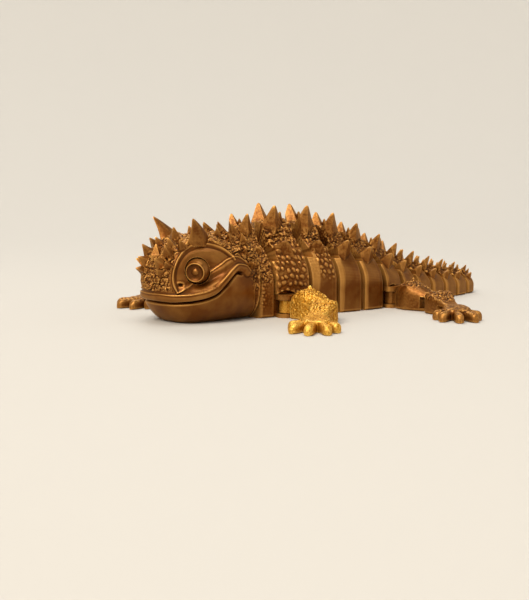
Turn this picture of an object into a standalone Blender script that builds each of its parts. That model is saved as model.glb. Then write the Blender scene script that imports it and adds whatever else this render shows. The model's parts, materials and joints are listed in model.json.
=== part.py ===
"""Articulated thorny devil toy: thirteen spiny pieces pinned in a row, with four pinned legs.

The toy is a print of a thorny devil lizard in bronze filament. It lies flat on its belly.
Frame: +Z up, floor at z = 0, head towards -X, the animal's left side towards -Y. The origin
is on the floor, under the middle of the whole toy's bounding box.

Sizes are in millimetres, and MM turns them into Blender's metres. Every piece is modelled
about its own hinge pin, which stays its object's origin, and is then set at its place.
"""

import math
from dataclasses import dataclass

import bmesh
import bpy
import numpy as np
from mathutils import Matrix, Vector

MM = 0.001

# Driving sizes of the row of body pieces, read along the spine from the neck's front pin
SPINE_STATIONS = (0, 10, 30, 46, 61, 76, 91, 105, 118, 131, 144, 157, 174)
HALF_WIDTHS = (19.0, 19.6, 21.0, 21.8, 21.2, 19.6, 16.2, 13.0, 11.2, 9.9, 8.8, 7.8, 6.0)
CREST_HEIGHTS = (39.5, 43.5, 45.5, 43.5, 40.0, 36.0, 30.0, 24.5, 20.8, 18.4, 16.4, 14.8, 12.0)
SPIKE_HEIGHTS = (6.5, 8.5, 12.0, 10.5, 8.5, 7.2, 7.0, 6.4, 5.8, 5.2, 4.8, 4.4, 3.6)
WALL_SHARE = 0.36
ROOF_SHARE = 0.82
ROOF_HALF_WIDTH_SHARE = 0.40
CHAMFER = 1.0

# Seams between body pieces, each a shallow V in plan that opens towards the flanks
SEAM_GAP = 1.2
SEAM_SWEEP_SHARE = 0.19
SEAM_OPENING = 1.6

# Spine hinges: a pin in a pocket at each piece's rear, a ring on the next piece's front
PIN_RADIUS = 1.7
PIN_CLEARANCE = 0.45
RING_RADIUS = 3.5
PIN_TO_REAR = 3.6
POCKET_HALF_WIDTH = 4.4
POCKET_DEPTH = 4.3
POCKET_FLOOR = 2.4
TONGUE_HALF_WIDTH = 2.3
RING_SHARE = 0.56
ROUND_SIDES = 10

# Spikes: where the sides bend in towards the tip, and how wide they still are there
SPIKE_WAIST = 0.45
SPIKE_WAIST_WIDTH = 0.60

# Head, with its own rear pin as origin
HEAD_REAR = 5.0
HEAD_SNOUT = -46.5
HEAD_ROWS = 21
HEAD_AROUND = 19
HEAD_SQUARENESS = 2.0 / 2.7
EYE_PLACE = (-31.6, 15.2, 24.2)
EYE_RADIUS = 5.6
EYE_AIM = (-0.46, 0.88, 0.08)
JOINT_GAP = 0.3
HORN_GAP = 0.5
MOUTH_GROOVE_RADIUS = 0.8
LIP_RADIUS = 1.7
BROW_RIM_RADIUS = 0.9

# Mouth line and lip roll in side view: distance from the jaw's rear edge, and height
MOUTH_LINE = (
    (-45.2, 9.8),
    (-44.4, 9.8),
    (-43.0, 9.8),
    (-38.8, 10.2),
    (-32.0, 11.2),
    (-26.2, 13.0),
    (-21.2, 17.0),
    (-16.7, 21.3),
    (-14.2, 22.9),
    (-12.0, 22.4),
)
LIP_LINE = (
    (-46.0, 12.4),
    (-45.2, 12.4),
    (-43.0, 12.2),
    (-38.8, 12.4),
    (-31.4, 13.6),
    (-25.4, 15.6),
    (-20.6, 19.8),
    (-16.2, 23.7),
    (-13.0, 25.2),
    (-10.2, 24.6),
    (-8.8, 22.6),
)

# Legs, pin to pin, with their clevis and ring hinges
UPPER_LENGTH = 24.0
LOWER_LENGTH = 20.0
LUG_RADIUS = 4.7
LEG_RING_RADIUS = 3.2
LEG_PIN_RADIUS = 1.5
LEG_START = 5.5
SHOULDER_ALONG = 8.5
HIP_ALONG = 7.6
FINGER_ANGLES = (-64.0, -38.0, -10.0, 17.0, 42.0)
FINGER_REACHES = (17.5, 22.0, 24.0, 23.0, 19.0)


@dataclass(frozen=True)
class SpinePiece:
    """One body piece: its name, its length from pin to pin and its heading in plan."""

    name: str
    pitch: float
    heading: float


@dataclass(frozen=True)
class LegHinge:
    """Heights of one leg hinge: the ring's underside and top, and the clevis's top."""

    ring_low: float
    ring_high: float
    top: float


@dataclass(frozen=True)
class Socket:
    """An eye socket in side view: a chord, tilted up to the rear, with an arch over it."""

    middle: tuple
    tilt: float
    toe_in: float
    half_length: float
    bulge: float

    def place(self, along, above):
        """Return the side-view place at a distance along the chord and above it."""
        turn = math.radians(self.tilt)
        x = self.middle[0] + along * math.cos(turn) - above * math.sin(turn)
        z = self.middle[1] + along * math.sin(turn) + above * math.cos(turn)
        return x, z


SOCKET = Socket(middle=(-28.2, 22.0), tilt=27.0, toe_in=14.0, half_length=15.2, bulge=13.8)

SPINE = (
    SpinePiece("neck", 10.0, 4.5),
    SpinePiece("chest", 20.0, 0.0),
    SpinePiece("back_1", 15.5, 0.0),
    SpinePiece("back_2", 15.5, 0.0),
    SpinePiece("back_3", 15.0, 1.0),
    SpinePiece("hip", 15.0, 3.0),
    SpinePiece("tail_1", 14.0, 6.0),
    SpinePiece("tail_2", 13.5, 9.0),
    SpinePiece("tail_3", 13.0, 12.0),
    SpinePiece("tail_4", 13.0, 15.0),
    SpinePiece("tail_5", 13.0, 17.5),
    SpinePiece("tail_6", 17.0, 20.0),
)
HEAD_HEADING = 9.5

SHOULDER = LegHinge(2.2, 8.0, 11.0)
ELBOW = LegHinge(2.0, 6.8, 9.4)
WRIST = LegHinge(1.7, 4.4, 6.6)

# Plan headings of the leg pieces: upper, lower and foot
LEG_HEADINGS = {
    "front_left": (-67.0, -138.0, -124.0),
    "front_right": (124.0, 158.0, 168.0),
    "rear_left": (-70.0, -104.0, -112.0),
    "rear_right": (72.0, 104.0, 98.0),
}

BRONZE = (0.26, 0.12, 0.035, 1.0)
GOLD = (0.42, 0.22, 0.045, 1.0)


def clear_scene():
    """Remove every object that the scene starts with."""
    for obj in list(bpy.data.objects):
        bpy.data.objects.remove(obj, do_unlink=True)


def new_collection(name, hidden=False):
    """Return a new collection linked to the scene."""
    collection = bpy.data.collections.new(name)
    collection.hide_render = hidden
    bpy.context.scene.collection.children.link(collection)
    return collection


clear_scene()
TOY = new_collection("thorny_devil_toy")
TOOLS = new_collection("cutters_and_additions", hidden=True)


def filament(name, colour):
    """Return a glossy printed-plastic material of one base colour."""
    material = bpy.data.materials.new(name)
    material.use_nodes = True
    shader = material.node_tree.nodes["Principled BSDF"]
    shader.inputs["Base Color"].default_value = colour
    shader.inputs["Metallic"].default_value = 0.6
    shader.inputs["Roughness"].default_value = 0.38
    return material


def smooth(value):
    """Return the smooth step of a value or an array, from 0 below 0 to 1 above 1."""
    value = np.clip(value, 0.0, 1.0)
    return value * value * (3.0 - 2.0 * value)


def mesh_object(name, points, faces):
    """Make an object from points in millimetres and faces, with its normals outwards."""
    mesh = bpy.data.meshes.new(name)
    mesh.from_pydata([Vector(p) * MM for p in points], [], faces)
    work = bmesh.new()
    work.from_mesh(mesh)
    bmesh.ops.remove_doubles(work, verts=work.verts, dist=0.00001)
    bmesh.ops.recalc_face_normals(work, faces=work.faces)
    work.to_mesh(mesh)
    work.free()
    obj = bpy.data.objects.new(name, mesh)
    TOOLS.objects.link(obj)
    return obj


def loft(name, rings, split_caps=False):
    """Join closed rings of points into one body.

    With split_caps each end is two flat faces that meet on the middle plane, for rings
    that start at the bottom's middle and pass the top's middle half way round.
    """
    count = len(rings[0])
    points = [tuple(p) for ring in rings for p in ring]
    faces = []
    for row in range(len(rings) - 1):
        for k in range(count):
            a = row * count + k
            b = row * count + (k + 1) % count
            faces.append((a, b, b + count, a + count))
    for start in (0, (len(rings) - 1) * count):
        if split_caps:
            faces.append(tuple(start + k for k in range(count // 2 + 1)))
            faces.append(tuple(start + k % count for k in range(count // 2, count + 1)))
        else:
            faces.append(tuple(start + k for k in range(count)))
    return mesh_object(name, points, faces)


def box(x_range, y_range, z_range):
    """Return a box between the given ranges."""
    bpy.ops.mesh.primitive_cube_add(size=1.0)
    obj = bpy.context.object
    spans = (x_range, y_range, z_range)
    sizes = [(high - low) * MM for low, high in spans]
    middle = [(high + low) * 0.5 * MM for low, high in spans]
    obj.data.transform(Matrix.Translation(middle) @ Matrix.Diagonal((*sizes, 1.0)))
    return stash(obj)


def rod(radius, z_range, at=(0.0, 0.0), sides=ROUND_SIDES, turn=None):
    """Return a cylinder about a vertical axis, or one turned by a matrix before it moves."""
    low, high = z_range
    bpy.ops.mesh.primitive_cylinder_add(vertices=sides, radius=radius * MM, depth=(high - low) * MM)
    obj = bpy.context.object
    obj.data.transform(Matrix.Translation((0, 0, (high + low) * 0.5 * MM)))
    if turn:
        obj.data.transform(turn)
    obj.data.transform(Matrix.Translation((at[0] * MM, at[1] * MM, 0)))
    return stash(obj)


def stash(obj):
    """Move a new primitive to the collection of cutters and additions."""
    for owner in list(obj.users_collection):
        owner.objects.unlink(obj)
    TOOLS.objects.link(obj)
    obj.display_type = "WIRE"
    return obj


def combine(target, tools, operation, solver="EXACT"):
    """Apply one Boolean between the target and a group of objects, then remove the group."""
    if not tools:
        return target
    group = bpy.data.collections.new("group")
    bpy.context.scene.collection.children.link(group)
    for tool in tools:
        group.objects.link(tool)
    modifier = target.modifiers.new("combine", "BOOLEAN")
    modifier.operation = operation
    modifier.operand_type = "COLLECTION"
    modifier.collection = group
    modifier.solver = solver
    bpy.context.view_layer.update()
    graph = bpy.context.evaluated_depsgraph_get()
    result = bpy.data.meshes.new_from_object(target.evaluated_get(graph))
    target.modifiers.clear()
    target.data = result
    for tool in tools:
        bpy.data.objects.remove(tool, do_unlink=True)
    bpy.data.collections.remove(group)
    return target


def keep_largest(obj):
    """Keep only the largest closed surface of an object's mesh."""
    work = bmesh.new()
    work.from_mesh(obj.data)
    left = set(work.verts)
    islands = []
    while left:
        island = {left.pop()}
        edge = list(island)
        while edge:
            near = {e.other_vert(v) for v in edge for e in v.link_edges} & left
            left -= near
            island |= near
            edge = list(near)
        islands.append(island)
    islands.sort(key=len)
    for island in islands[:-1]:
        bmesh.ops.delete(work, geom=list(island), context="VERTS")
    work.to_mesh(obj.data)
    work.free()


def finish(obj, name, material, pin, heading, root):
    """Name a piece, give it its material and set it with its pin at its place in plan."""
    keep_largest(obj)
    obj.name = name
    obj.data.name = name
    obj.data.materials.clear()
    obj.data.materials.append(material)
    obj.data.shade_smooth()
    obj.data.set_sharp_from_angle(angle=math.radians(35))
    for owner in list(obj.users_collection):
        owner.objects.unlink(obj)
    TOY.objects.link(obj)
    obj.display_type = "TEXTURED"
    obj.location = (pin[0] * MM, pin[1] * MM, 0.0)
    obj.rotation_euler = (0.0, 0.0, math.radians(heading))
    obj.parent = root
    return obj


def spike(root, aim, height, radius, back=0.14, stretch=1.2, sides=5):
    """Return a fin-like spike that swells below its tip.

    Args:
        root: Point on the surface that the spike grows from.
        aim: Direction of the spike's axis.
        height: Height of the tip over the root.
        radius: Half the spike's width at its root.
        back: Share of the height by which the tip bends towards +X.
        stretch: Length of the root along X for its width.
        sides: Number of corners of the root.
    """
    axis = Vector(aim).normalized()
    along = Vector((1, 0, 0)) - axis * axis.x
    along.normalize()
    across = axis.cross(along)
    base = Vector(root)
    rings = []
    sink = max(radius * 0.9, 1.2)
    for level, size in ((-sink, 1.0), (height * SPIKE_WAIST, SPIKE_WAIST_WIDTH)):
        lean = back * height * max(level / height, 0.0) ** 1.6
        ring = []
        for k in range(sides):
            angle = 2.0 * math.pi * (k + 0.5) / sides
            offset = along * (math.cos(angle) * radius * stretch * size + lean)
            ring.append(base + axis * level + offset + across * (math.sin(angle) * radius * size))
        rings.append(ring)
    tip = base + axis * height + along * (back * height)
    points = [p for ring in rings for p in ring] + [tip]
    faces = [tuple(range(sides))]
    for k in range(sides):
        after = (k + 1) % sides
        faces.append((k, after, sides + after, sides + k))
        faces.append((sides + k, sides + after, 2 * sides))
    return mesh_object("spike", points, faces)


def at_station(values, s):
    """Read a driving size at a distance along the spine."""
    return float(np.interp(s, SPINE_STATIONS, values))


def body_outline(s):
    """Return the right half of the body's section at a station, from bottom to top."""
    width = at_station(HALF_WIDTHS, s)
    height = at_station(CREST_HEIGHTS, s)
    wall = WALL_SHARE * height
    roof = (ROOF_HALF_WIDTH_SHARE * width, ROOF_SHARE * height)
    knee = (width, roof[1] * 0.74)
    points = [(0.0, 0.0), (width - CHAMFER, 0.0), (width, CHAMFER), (width, wall)]
    for t in (0.33, 0.67, 1.0):
        y = (1 - t) ** 2 * width + 2 * t * (1 - t) * knee[0] + t * t * roof[0]
        z = (1 - t) ** 2 * wall + 2 * t * (1 - t) * knee[1] + t * t * roof[1]
        points.append((y, z))
    points.append((roof[0] * 0.62, height - 0.6))
    points.append((0.0, height))
    return points


def mirrored_ring(half, x_of):
    """Return a closed ring from a right half outline, with x worked out from |y|."""
    right = [(x_of(y), y, z) for y, z in half]
    left = [(x_of(y), -y, z) for y, z in reversed(half[1:-1])]
    return right + left


def seam_sweep(s):
    """Return how far a seam runs back from the middle to the flank at a station."""
    return SEAM_SWEEP_SHARE * at_station(HALF_WIDTHS, s)


def ring_top(s):
    """Return the height of a spine hinge's ring at a station."""
    return RING_SHARE * at_station(CREST_HEIGHTS, s)


def hinge_ring(low, high, outer, hole, tongue_end, tongue_half):
    """Return a ring about the origin with a tongue towards +X, as one body."""
    ring = rod(outer, (low, high), sides=ROUND_SIDES)
    tongue = box((0.5 * outer, tongue_end), (-tongue_half, tongue_half), (low, high))
    combine(ring, [tongue], "UNION")
    combine(ring, [rod(hole, (low - 1.0, high + 1.0), sides=ROUND_SIDES)], "DIFFERENCE")
    return ring


def rear_pocket(rear_x, s):
    """Return the cutter of the hinge pocket in a piece's rear and the pin that it holds."""
    top = ring_top(s) + 0.6
    pin_x = rear_x - PIN_TO_REAR
    cutter = box(
        (pin_x - POCKET_DEPTH, rear_x + 12.0),
        (-POCKET_HALF_WIDTH, POCKET_HALF_WIDTH),
        (POCKET_FLOOR, top),
    )
    pin = rod(PIN_RADIUS, (POCKET_FLOOR - 1.0, top + 1.0), at=(pin_x, 0.0))
    return cutter, pin


def crest_spikes(piece, start):
    """Return the spikes of one body piece: paired rows on the crest and on the flanks."""
    is_tail = piece.name.startswith("tail")
    shares = (0.24, 0.70) if is_tail else (0.40,)
    spikes = []
    for row, share in enumerate(shares):
        x = 5.0 + share * (piece.pitch - 1.6)
        s = start + x
        width = at_station(HALF_WIDTHS, s)
        height = at_station(CREST_HEIGHTS, s)
        tall = at_station(SPIKE_HEIGHTS, s) * (1.0 if row == 0 else 0.72)
        roof_y = ROOF_HALF_WIDTH_SHARE * width
        for side in (1, -1):
            top = (x, side * roof_y * 0.62, height - 1.4)
            spikes.append(spike(top, (0.0, side * 0.28, 1.0), tall, tall * 0.40))
            if row == 0:
                flank = (x + 1.0, side * (roof_y + width * 0.22), height * (ROOF_SHARE - 0.13))
                aim = (0.0, side * 1.0, 1.25)
                spikes.append(spike(flank, aim, tall * 0.78, min(tall * 0.44, piece.pitch * 0.24)))
        if not is_tail:
            rear = x + piece.pitch * 0.30
            for side in (1, -1):
                low = (rear - 1.0, side * width * 0.80, height * 0.60)
                spikes.append(spike(low, (0.0, side, 0.75), tall * 0.34, tall * 0.24, sides=4))
                mid = (rear, side * roof_y * 0.45, height - 1.0)
                spikes.append(spike(mid, (0.0, side * 0.2, 1.0), tall * 0.55, tall * 0.26))
    return spikes


def body_piece(piece, start, is_last=False):
    """Model one body piece about its front pin: a dome with spikes, a ring and a pocket."""
    gap_front = PIN_TO_REAR + SEAM_GAP
    front_sweep = seam_sweep(start)
    rear_x = piece.pitch + PIN_TO_REAR
    if is_last:
        rear_x = piece.pitch
    rear_sweep = 0.0 if is_last else seam_sweep(start + piece.pitch) - SEAM_OPENING
    rings = []
    for share in (0.0, 0.5, 1.0):
        x = gap_front + share * (rear_x - gap_front)
        sweep = front_sweep + share * (rear_sweep - front_sweep)
        half = body_outline(start + x)
        width = at_station(HALF_WIDTHS, start + x)
        rings.append(mirrored_ring(half, lambda y, x=x, k=sweep / width: x + k * abs(y)))
    body = loft(piece.name, rings, split_caps=True)
    combine(body, crest_spikes(piece, start), "UNION", "MANIFOLD")
    if not is_last:
        cutter, pin = rear_pocket(rear_x, start + piece.pitch)
        combine(body, [cutter], "DIFFERENCE")
        combine(body, [pin], "UNION")
    ring = hinge_ring(
        POCKET_FLOOR + 0.6,
        ring_top(start),
        RING_RADIUS,
        PIN_RADIUS + PIN_CLEARANCE,
        gap_front + 1.5,
        TONGUE_HALF_WIDTH,
    )
    combine(body, [ring], "UNION")
    return body


def leg_socket(body, along, start, radius):
    """Cut an arched recess in both flanks of a piece and set a clevis with its pin in each."""
    width = at_station(HALF_WIDTHS, start + along) - 0.4
    for side in (1, -1):
        turn = Matrix.Rotation(math.radians(90), 4, "X")
        arch = rod(radius, (-4.0, 4.0), sides=14, turn=turn)
        arch.data.transform(Matrix.Translation((along * MM, side * (width + 1.6) * MM, 5.5 * MM)))
        combine(body, [arch], "DIFFERENCE")
        centre = (along, side * width)
        lug = rod(LUG_RADIUS, (0.0, SHOULDER.top), at=centre, sides=14)
        stem = box(
            (along - LUG_RADIUS, along + LUG_RADIUS),
            sorted((side * width, side * (width - 6.0))),
            (0.0, SHOULDER.top),
        )
        combine(body, [lug, stem], "UNION")
        cut_clevis(body, centre, side, SHOULDER)
    return body


def cut_clevis(body, centre, side, hinge):
    """Cut the slot between a flank clevis's two lugs and set its pin."""
    x, y = centre
    low = hinge.ring_low - 0.4
    high = hinge.ring_high + 0.4
    reach = LEG_RING_RADIUS + 0.5
    slot = box(
        (x - 5.6, x + 5.6),
        sorted((y - side * reach, y + side * 12.0)),
        (low, high),
    )
    combine(body, [slot], "DIFFERENCE")
    combine(body, [rod(LEG_PIN_RADIUS, (low - 0.8, high + 0.8), at=centre)], "UNION")


def finger_outline(width, height):
    """Return the right half of a finger's section: a round-topped bar on a flat base."""
    return [
        (0.0, 0.0),
        (width * 0.8, 0.0),
        (width, height * 0.40),
        (width * 0.66, height * 0.88),
        (0.0, height),
    ]


def limb_outline(width, height):
    """Return the right half of a limb's section: a low dome on a flat base."""
    edge = min(0.8, width * 0.3)
    return [
        (0.0, 0.0),
        (width - edge, 0.0),
        (width, edge),
        (width, height * 0.42),
        (width * 0.86, height * 0.76),
        (width * 0.48, height * 0.97),
        (0.0, height),
    ]


def limb(name, rows):
    """Loft a limb from rows of x, side offset, half width and height."""
    rings = []
    for x, offset, width, height in rows:
        half = limb_outline(width, height)
        ring = mirrored_ring(half, lambda y, x=x: x)
        rings.append([(px, py + offset, pz) for px, py, pz in ring])
    return loft(name, rings)


def end_rows(length, hinge, radius=LUG_RADIUS):
    """Return the rows of a rounded clevis end about a pin at the given length."""
    rows = []
    for angle in (0.0, 40.0, 72.0):
        turn = math.radians(angle)
        drop = 1.0 - 0.10 * math.sin(turn)
        rows.append((length + radius * math.sin(turn), 0.0, radius * math.cos(turn), hinge.top * drop))
    return rows


def add_limb_hinges(body, length, near, far):
    """Give a limb its ring at the origin and, if it has one, the clevis at its far end."""
    if far:
        low = far.ring_low - 0.4
        high = far.ring_high + 0.4
        reach = LEG_RING_RADIUS + 0.5
        slot = box((length - reach, length + 12.0), (-12.0, 12.0), (low, high))
        combine(body, [slot], "DIFFERENCE")
        pin = rod(LEG_PIN_RADIUS, (low - 0.7, high + 0.7), at=(length, 0.0))
        combine(body, [pin], "UNION")
    ring = hinge_ring(
        near.ring_low,
        near.ring_high,
        LEG_RING_RADIUS,
        LEG_PIN_RADIUS + 0.4,
        LEG_START + 2.0,
        2.2,
    )
    combine(body, [ring], "UNION")
    return body


def upper_limb(name, bulge, widest):
    """Model an upper arm or thigh: a bulging bean whose outer side curves to the rear."""
    rows = [
        (LEG_START, 0.0, 4.2, 11.0),
        (LEG_START + 3.2, bulge * 0.55, widest * 0.82, 13.2),
        (12.5, bulge, widest, 14.0),
        (17.0, bulge * 0.75, widest * 0.90, 12.6),
    ]
    body = limb(name, rows + end_rows(UPPER_LENGTH, ELBOW))
    sign = 1.0 if bulge >= 0.0 else -1.0
    lumps = [
        ((10.0, sign * (widest + abs(bulge) - 2.2), 7.0), (0.1, sign, 0.5), 3.0, 2.0),
        ((15.0, sign * (widest + abs(bulge) - 3.2), 7.6), (0.2, sign, 0.7), 2.8, 1.9),
        ((12.0, bulge, 13.2), (0.0, sign * 0.2, 1.0), 2.6, 2.0),
    ]
    spikes = [spike(p, aim, tall, wide, sides=4) for p, aim, tall, wide in lumps]
    combine(body, spikes, "UNION", "MANIFOLD")
    return add_limb_hinges(body, UPPER_LENGTH, SHOULDER, ELBOW)


def lower_limb(name, widest):
    """Model a forearm or shin: a wedge that narrows to the wrist."""
    rows = [
        (LEG_START, 0.0, widest * 0.86, 9.6),
        (LEG_START + 2.6, 0.0, widest, 10.6),
        (12.5, 0.0, widest * 0.82, 9.2),
    ]
    body = limb(name, rows + end_rows(LOWER_LENGTH, WRIST, LUG_RADIUS - 0.5))
    return add_limb_hinges(body, LOWER_LENGTH, ELBOW, WRIST)


def finger(start, angle, reach, rooted=5.0):
    """Return one finger of a hand: a flat-bottomed bar with a round, swollen tip."""
    profile = ((0.0, 1.9, 5.0), (0.82, 2.2, 4.5), (1.0, 1.1, 2.9))
    turn = Matrix.Rotation(math.radians(angle), 4, "Z")
    rings = []
    for share, width, height in profile:
        x = rooted + share * (reach - rooted)
        ring = mirrored_ring(finger_outline(width, height), lambda y, x=x: x)
        rings.append([tuple(turn @ Vector(p) + Vector((start, 0.0, 0.0))) for p in ring])
    return loft("finger", rings)


def hand(name, side, scale=1.0):
    """Model a hand or foot: a low palm with five splayed fingers.

    Args:
        name: The piece's name.
        side: 1 for a left limb and -1 for its mirror image.
        scale: Size of the fingers for a front hand's.
    """
    rows = [
        (LEG_START, 0.0, 4.0, 6.4),
        (7.5, 0.0, 5.6, 6.8),
        (11.0, 0.0, 6.6, 6.4),
        (14.0, 0.0, 5.6, 5.6),
        (16.0, 0.0, 3.0, 4.8),
    ]
    body = limb(name, rows)
    fingers = []
    for angle, reach in zip(FINGER_ANGLES, FINGER_REACHES):
        fingers.append(finger(6.5, side * angle, (reach - 4.0) * scale, rooted=2.6))
    combine(body, fingers, "UNION", "MANIFOLD")
    return add_limb_hinges(body, 0.0, WRIST, None)


def head_section(x):
    """Return the head's half width, top height and bottom height at x."""
    plan = (HEAD_SNOUT, -45.6, -43.5, -40.0, -36.0, -30.0, -24.0, -16.0, -8.0, 0.0, 6.0)
    widths = (4.0, 8.4, 12.4, 15.8, 18.4, 20.8, 22.0, 22.6, 21.8, 20.4, 19.4)
    tops = (24.0, 27.6, 30.8, 33.6, 35.8, 37.8, 38.8, 39.6, 40.2, 39.6, 38.6)
    bottoms = (13.5, 10.2, 6.4, 2.4, -0.6, -2.0, -2.0, -2.0, -2.0, -2.0, -2.0)
    return tuple(float(np.interp(x, plan, values)) for values in (widths, tops, bottoms))


def head_base(x, turn):
    """Return a point of the head's plain form, at an angle from its keel to its crown."""
    width, top, bottom = head_section(x)
    middle = bottom + 0.47 * (top - bottom)
    sine = math.sin(turn)
    cosine = -math.cos(turn)
    y = width * sine**HEAD_SQUARENESS
    reach = top - middle if cosine >= 0.0 else bottom - middle
    return Vector((x, y, middle + reach * abs(cosine) ** HEAD_SQUARENESS))


def head_point(x, turn):
    """Return a point of the head's plain form and its outward direction."""
    base = head_base(x, turn)
    step_x = head_base(x + 0.2, turn) - head_base(x - 0.2, turn)
    low = max(turn - 0.03, 0.0)
    high = min(turn + 0.03, math.pi)
    step_turn = head_base(x, high) - head_base(x, low)
    normal = step_turn.cross(step_x)
    if normal.length < 1e-9:
        normal = Vector((0.0, 0.0, 1.0 if turn > 1.5 else -1.0))
    normal.normalize()
    if normal.dot(base - Vector((x + 6.0, 0.0, 18.0))) < 0.0:
        normal = -normal
    return base, normal


def on_cheek(x, z, lift=0.0):
    """Return the point of the head's right side at a side-view place, lifted off it."""
    low = 0.0
    high = math.pi
    for _ in range(30):
        turn = 0.5 * (low + high)
        if head_base(x, turn).z < z:
            low = turn
        else:
            high = turn
    point, normal = head_point(x, turn)
    return point + normal * lift + Vector((HEAD_REAR, 0.0, 0.0))


def across_snout(side_points):
    """Return a line's points on the right side, ordered snout to cheek, with their mirror."""
    mirrored = [Vector((p.x, -p.y, p.z)) for p in reversed(side_points)]
    return mirrored + list(side_points)


def tube(points, radius):
    """Return a rod of round section along points, as one closed body."""
    curve = bpy.data.curves.new("tube", "CURVE")
    curve.dimensions = "3D"
    curve.bevel_depth = radius * MM
    curve.bevel_resolution = 1
    curve.use_fill_caps = True
    line = curve.splines.new("POLY")
    line.points.add(len(points) - 1)
    for knot, point in zip(line.points, points):
        knot.co = (*(point * MM), 1.0)
    guide = bpy.data.objects.new("guide", curve)
    TOOLS.objects.link(guide)
    graph = bpy.context.evaluated_depsgraph_get()
    mesh = bpy.data.meshes.new_from_object(guide.evaluated_get(graph))
    bpy.data.objects.remove(guide, do_unlink=True)
    work = bmesh.new()
    work.from_mesh(mesh)
    bmesh.ops.remove_doubles(work, verts=work.verts, dist=0.00001)
    bmesh.ops.recalc_face_normals(work, faces=work.faces)
    work.to_mesh(mesh)
    work.free()
    obj = bpy.data.objects.new("tube", mesh)
    TOOLS.objects.link(obj)
    return obj


def mouth_groove():
    """Return the cutter of the mouth line, a wide smile that rises at the cheeks."""
    line = [on_cheek(x, z, 0.1) for x, z in MOUTH_LINE]
    return tube(across_snout(line), MOUTH_GROOVE_RADIUS)


def upper_lip():
    """Return the rolled upper lip, which hooks round each corner of the mouth."""
    line = [on_cheek(x, z, -0.5) for x, z in LIP_LINE]
    return tube(across_snout(line), LIP_RADIUS)


def brow_rim(side):
    """Return the raised rim that arches over an eye socket."""
    line = []
    for degrees in range(0, 181, 20):
        angle = math.radians(degrees)
        line.append(SOCKET.place(-math.cos(angle) * SOCKET.half_length, math.sin(angle) * SOCKET.bulge))
    points = [on_cheek(x, z, -0.2) for x, z in line]
    return tube([Vector((p.x, side * p.y, p.z)) for p in points], BROW_RIM_RADIUS)


def socket_hollow(side):
    """Return the flattened ball that hollows the eye socket."""
    bpy.ops.mesh.primitive_uv_sphere_add(segments=16, ring_count=8, radius=1.0)
    obj = stash(bpy.context.object)
    half_height = 0.5 * SOCKET.bulge + 0.9
    x, z = SOCKET.place(0.0, 0.5 * SOCKET.bulge - 0.9)
    middle = on_cheek(x, z, 0.9)
    shape = Matrix.Diagonal((SOCKET.half_length - 1.4, 4.8, half_height, 1.0))
    tilt = Matrix.Rotation(-math.radians(SOCKET.tilt), 4, "Y")
    toe_in = Matrix.Rotation(math.radians(side * SOCKET.toe_in), 4, "Z")
    place = Matrix.Translation(Vector((middle.x, side * middle.y, middle.z)) * MM)
    obj.data.transform(place @ toe_in @ tilt @ shape @ Matrix.Scale(MM, 4))
    return obj


def turned(profile, steps):
    """Return a body turned about Z from a profile of radius and height, top to bottom."""
    mesh = bpy.data.meshes.new("turned")
    points = [(radius * MM, 0.0, height * MM) for radius, height in profile]
    mesh.from_pydata(points, [(k, k + 1) for k in range(len(points) - 1)], [])
    obj = bpy.data.objects.new("turned", mesh)
    TOOLS.objects.link(obj)
    screw = obj.modifiers.new("screw", "SCREW")
    screw.steps = steps
    screw.render_steps = steps
    screw.use_merge_vertices = True
    screw.merge_threshold = 0.00001
    graph = bpy.context.evaluated_depsgraph_get()
    obj.data = bpy.data.meshes.new_from_object(obj.evaluated_get(graph))
    obj.modifiers.clear()
    return obj


def head_shell():
    """Model the head's body as rows of points from the snout to the rear face."""
    rear = PIN_TO_REAR
    sweep = seam_sweep(0.0) - SEAM_OPENING
    rings = []
    for row in range(HEAD_ROWS):
        share = (row / (HEAD_ROWS - 1)) ** 1.25
        x = HEAD_SNOUT + share * (rear - HEAD_REAR - HEAD_SNOUT)
        swept = smooth((share - 0.72) / 0.28) * sweep / 20.0
        right = []
        for k in range(HEAD_AROUND):
            point, _ = head_point(x, math.pi * k / (HEAD_AROUND - 1))
            if k in (0, HEAD_AROUND - 1):
                point.y = 0.0
            if row == HEAD_ROWS - 1:
                point.x = x
            z = max(point.z, 0.0)
            right.append((point.x + HEAD_REAR + swept * point.y, max(point.y, 0.0), z))
        left = [(px, -py, pz) for px, py, pz in reversed(right[1:-1])]
        rings.append(right + left)
    return loft("head", rings, split_caps=True)


# Spikes of the head: x, angle from keel to crown in degrees, height and root radius
HEAD_SPIKES = (
    (-45.0, 150, 3.2, 1.8),
    (-45.6, 118, 2.6, 1.6),
    (-43.0, 180, 3.2, 1.7),
    (-41.5, 154, 3.8, 2.0),
    (-43.5, 128, 2.8, 1.6),
    (-38.0, 170, 3.4, 1.9),
    (-36.5, 151, 3.6, 1.9),
    (-33.0, 180, 4.4, 2.2),
    (-27.0, 168, 3.2, 1.9),
    (-21.0, 180, 3.6, 2.0),
    (-16.5, 160, 4.2, 2.2),
    (-12.0, 146, 3.6, 2.0),
    (-10.5, 172, 4.2, 2.1),
    (-6.0, 160, 5.2, 2.4),
    (-6.0, 140, 4.6, 2.2),
    (-7.5, 121, 3.2, 1.9),
    (-5.0, 104, 3.6, 2.0),
    (-5.6, 180, 4.8, 2.2),
)


def head_spikes():
    """Return the head's spikes, mirrored where they stand off the middle."""
    spikes = []
    for x, degrees, height, radius in HEAD_SPIKES:
        point, normal = head_point(x, math.radians(degrees))
        aim = normal + Vector((-0.15, 0.0, 0.25))
        for side in (1, -1) if degrees < 179 else (1,):
            root = (point.x + HEAD_REAR, side * point.y, point.z)
            spikes.append(spike(root, (aim.x, side * aim.y, aim.z), height, radius, back=0.12))
    return spikes


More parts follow.
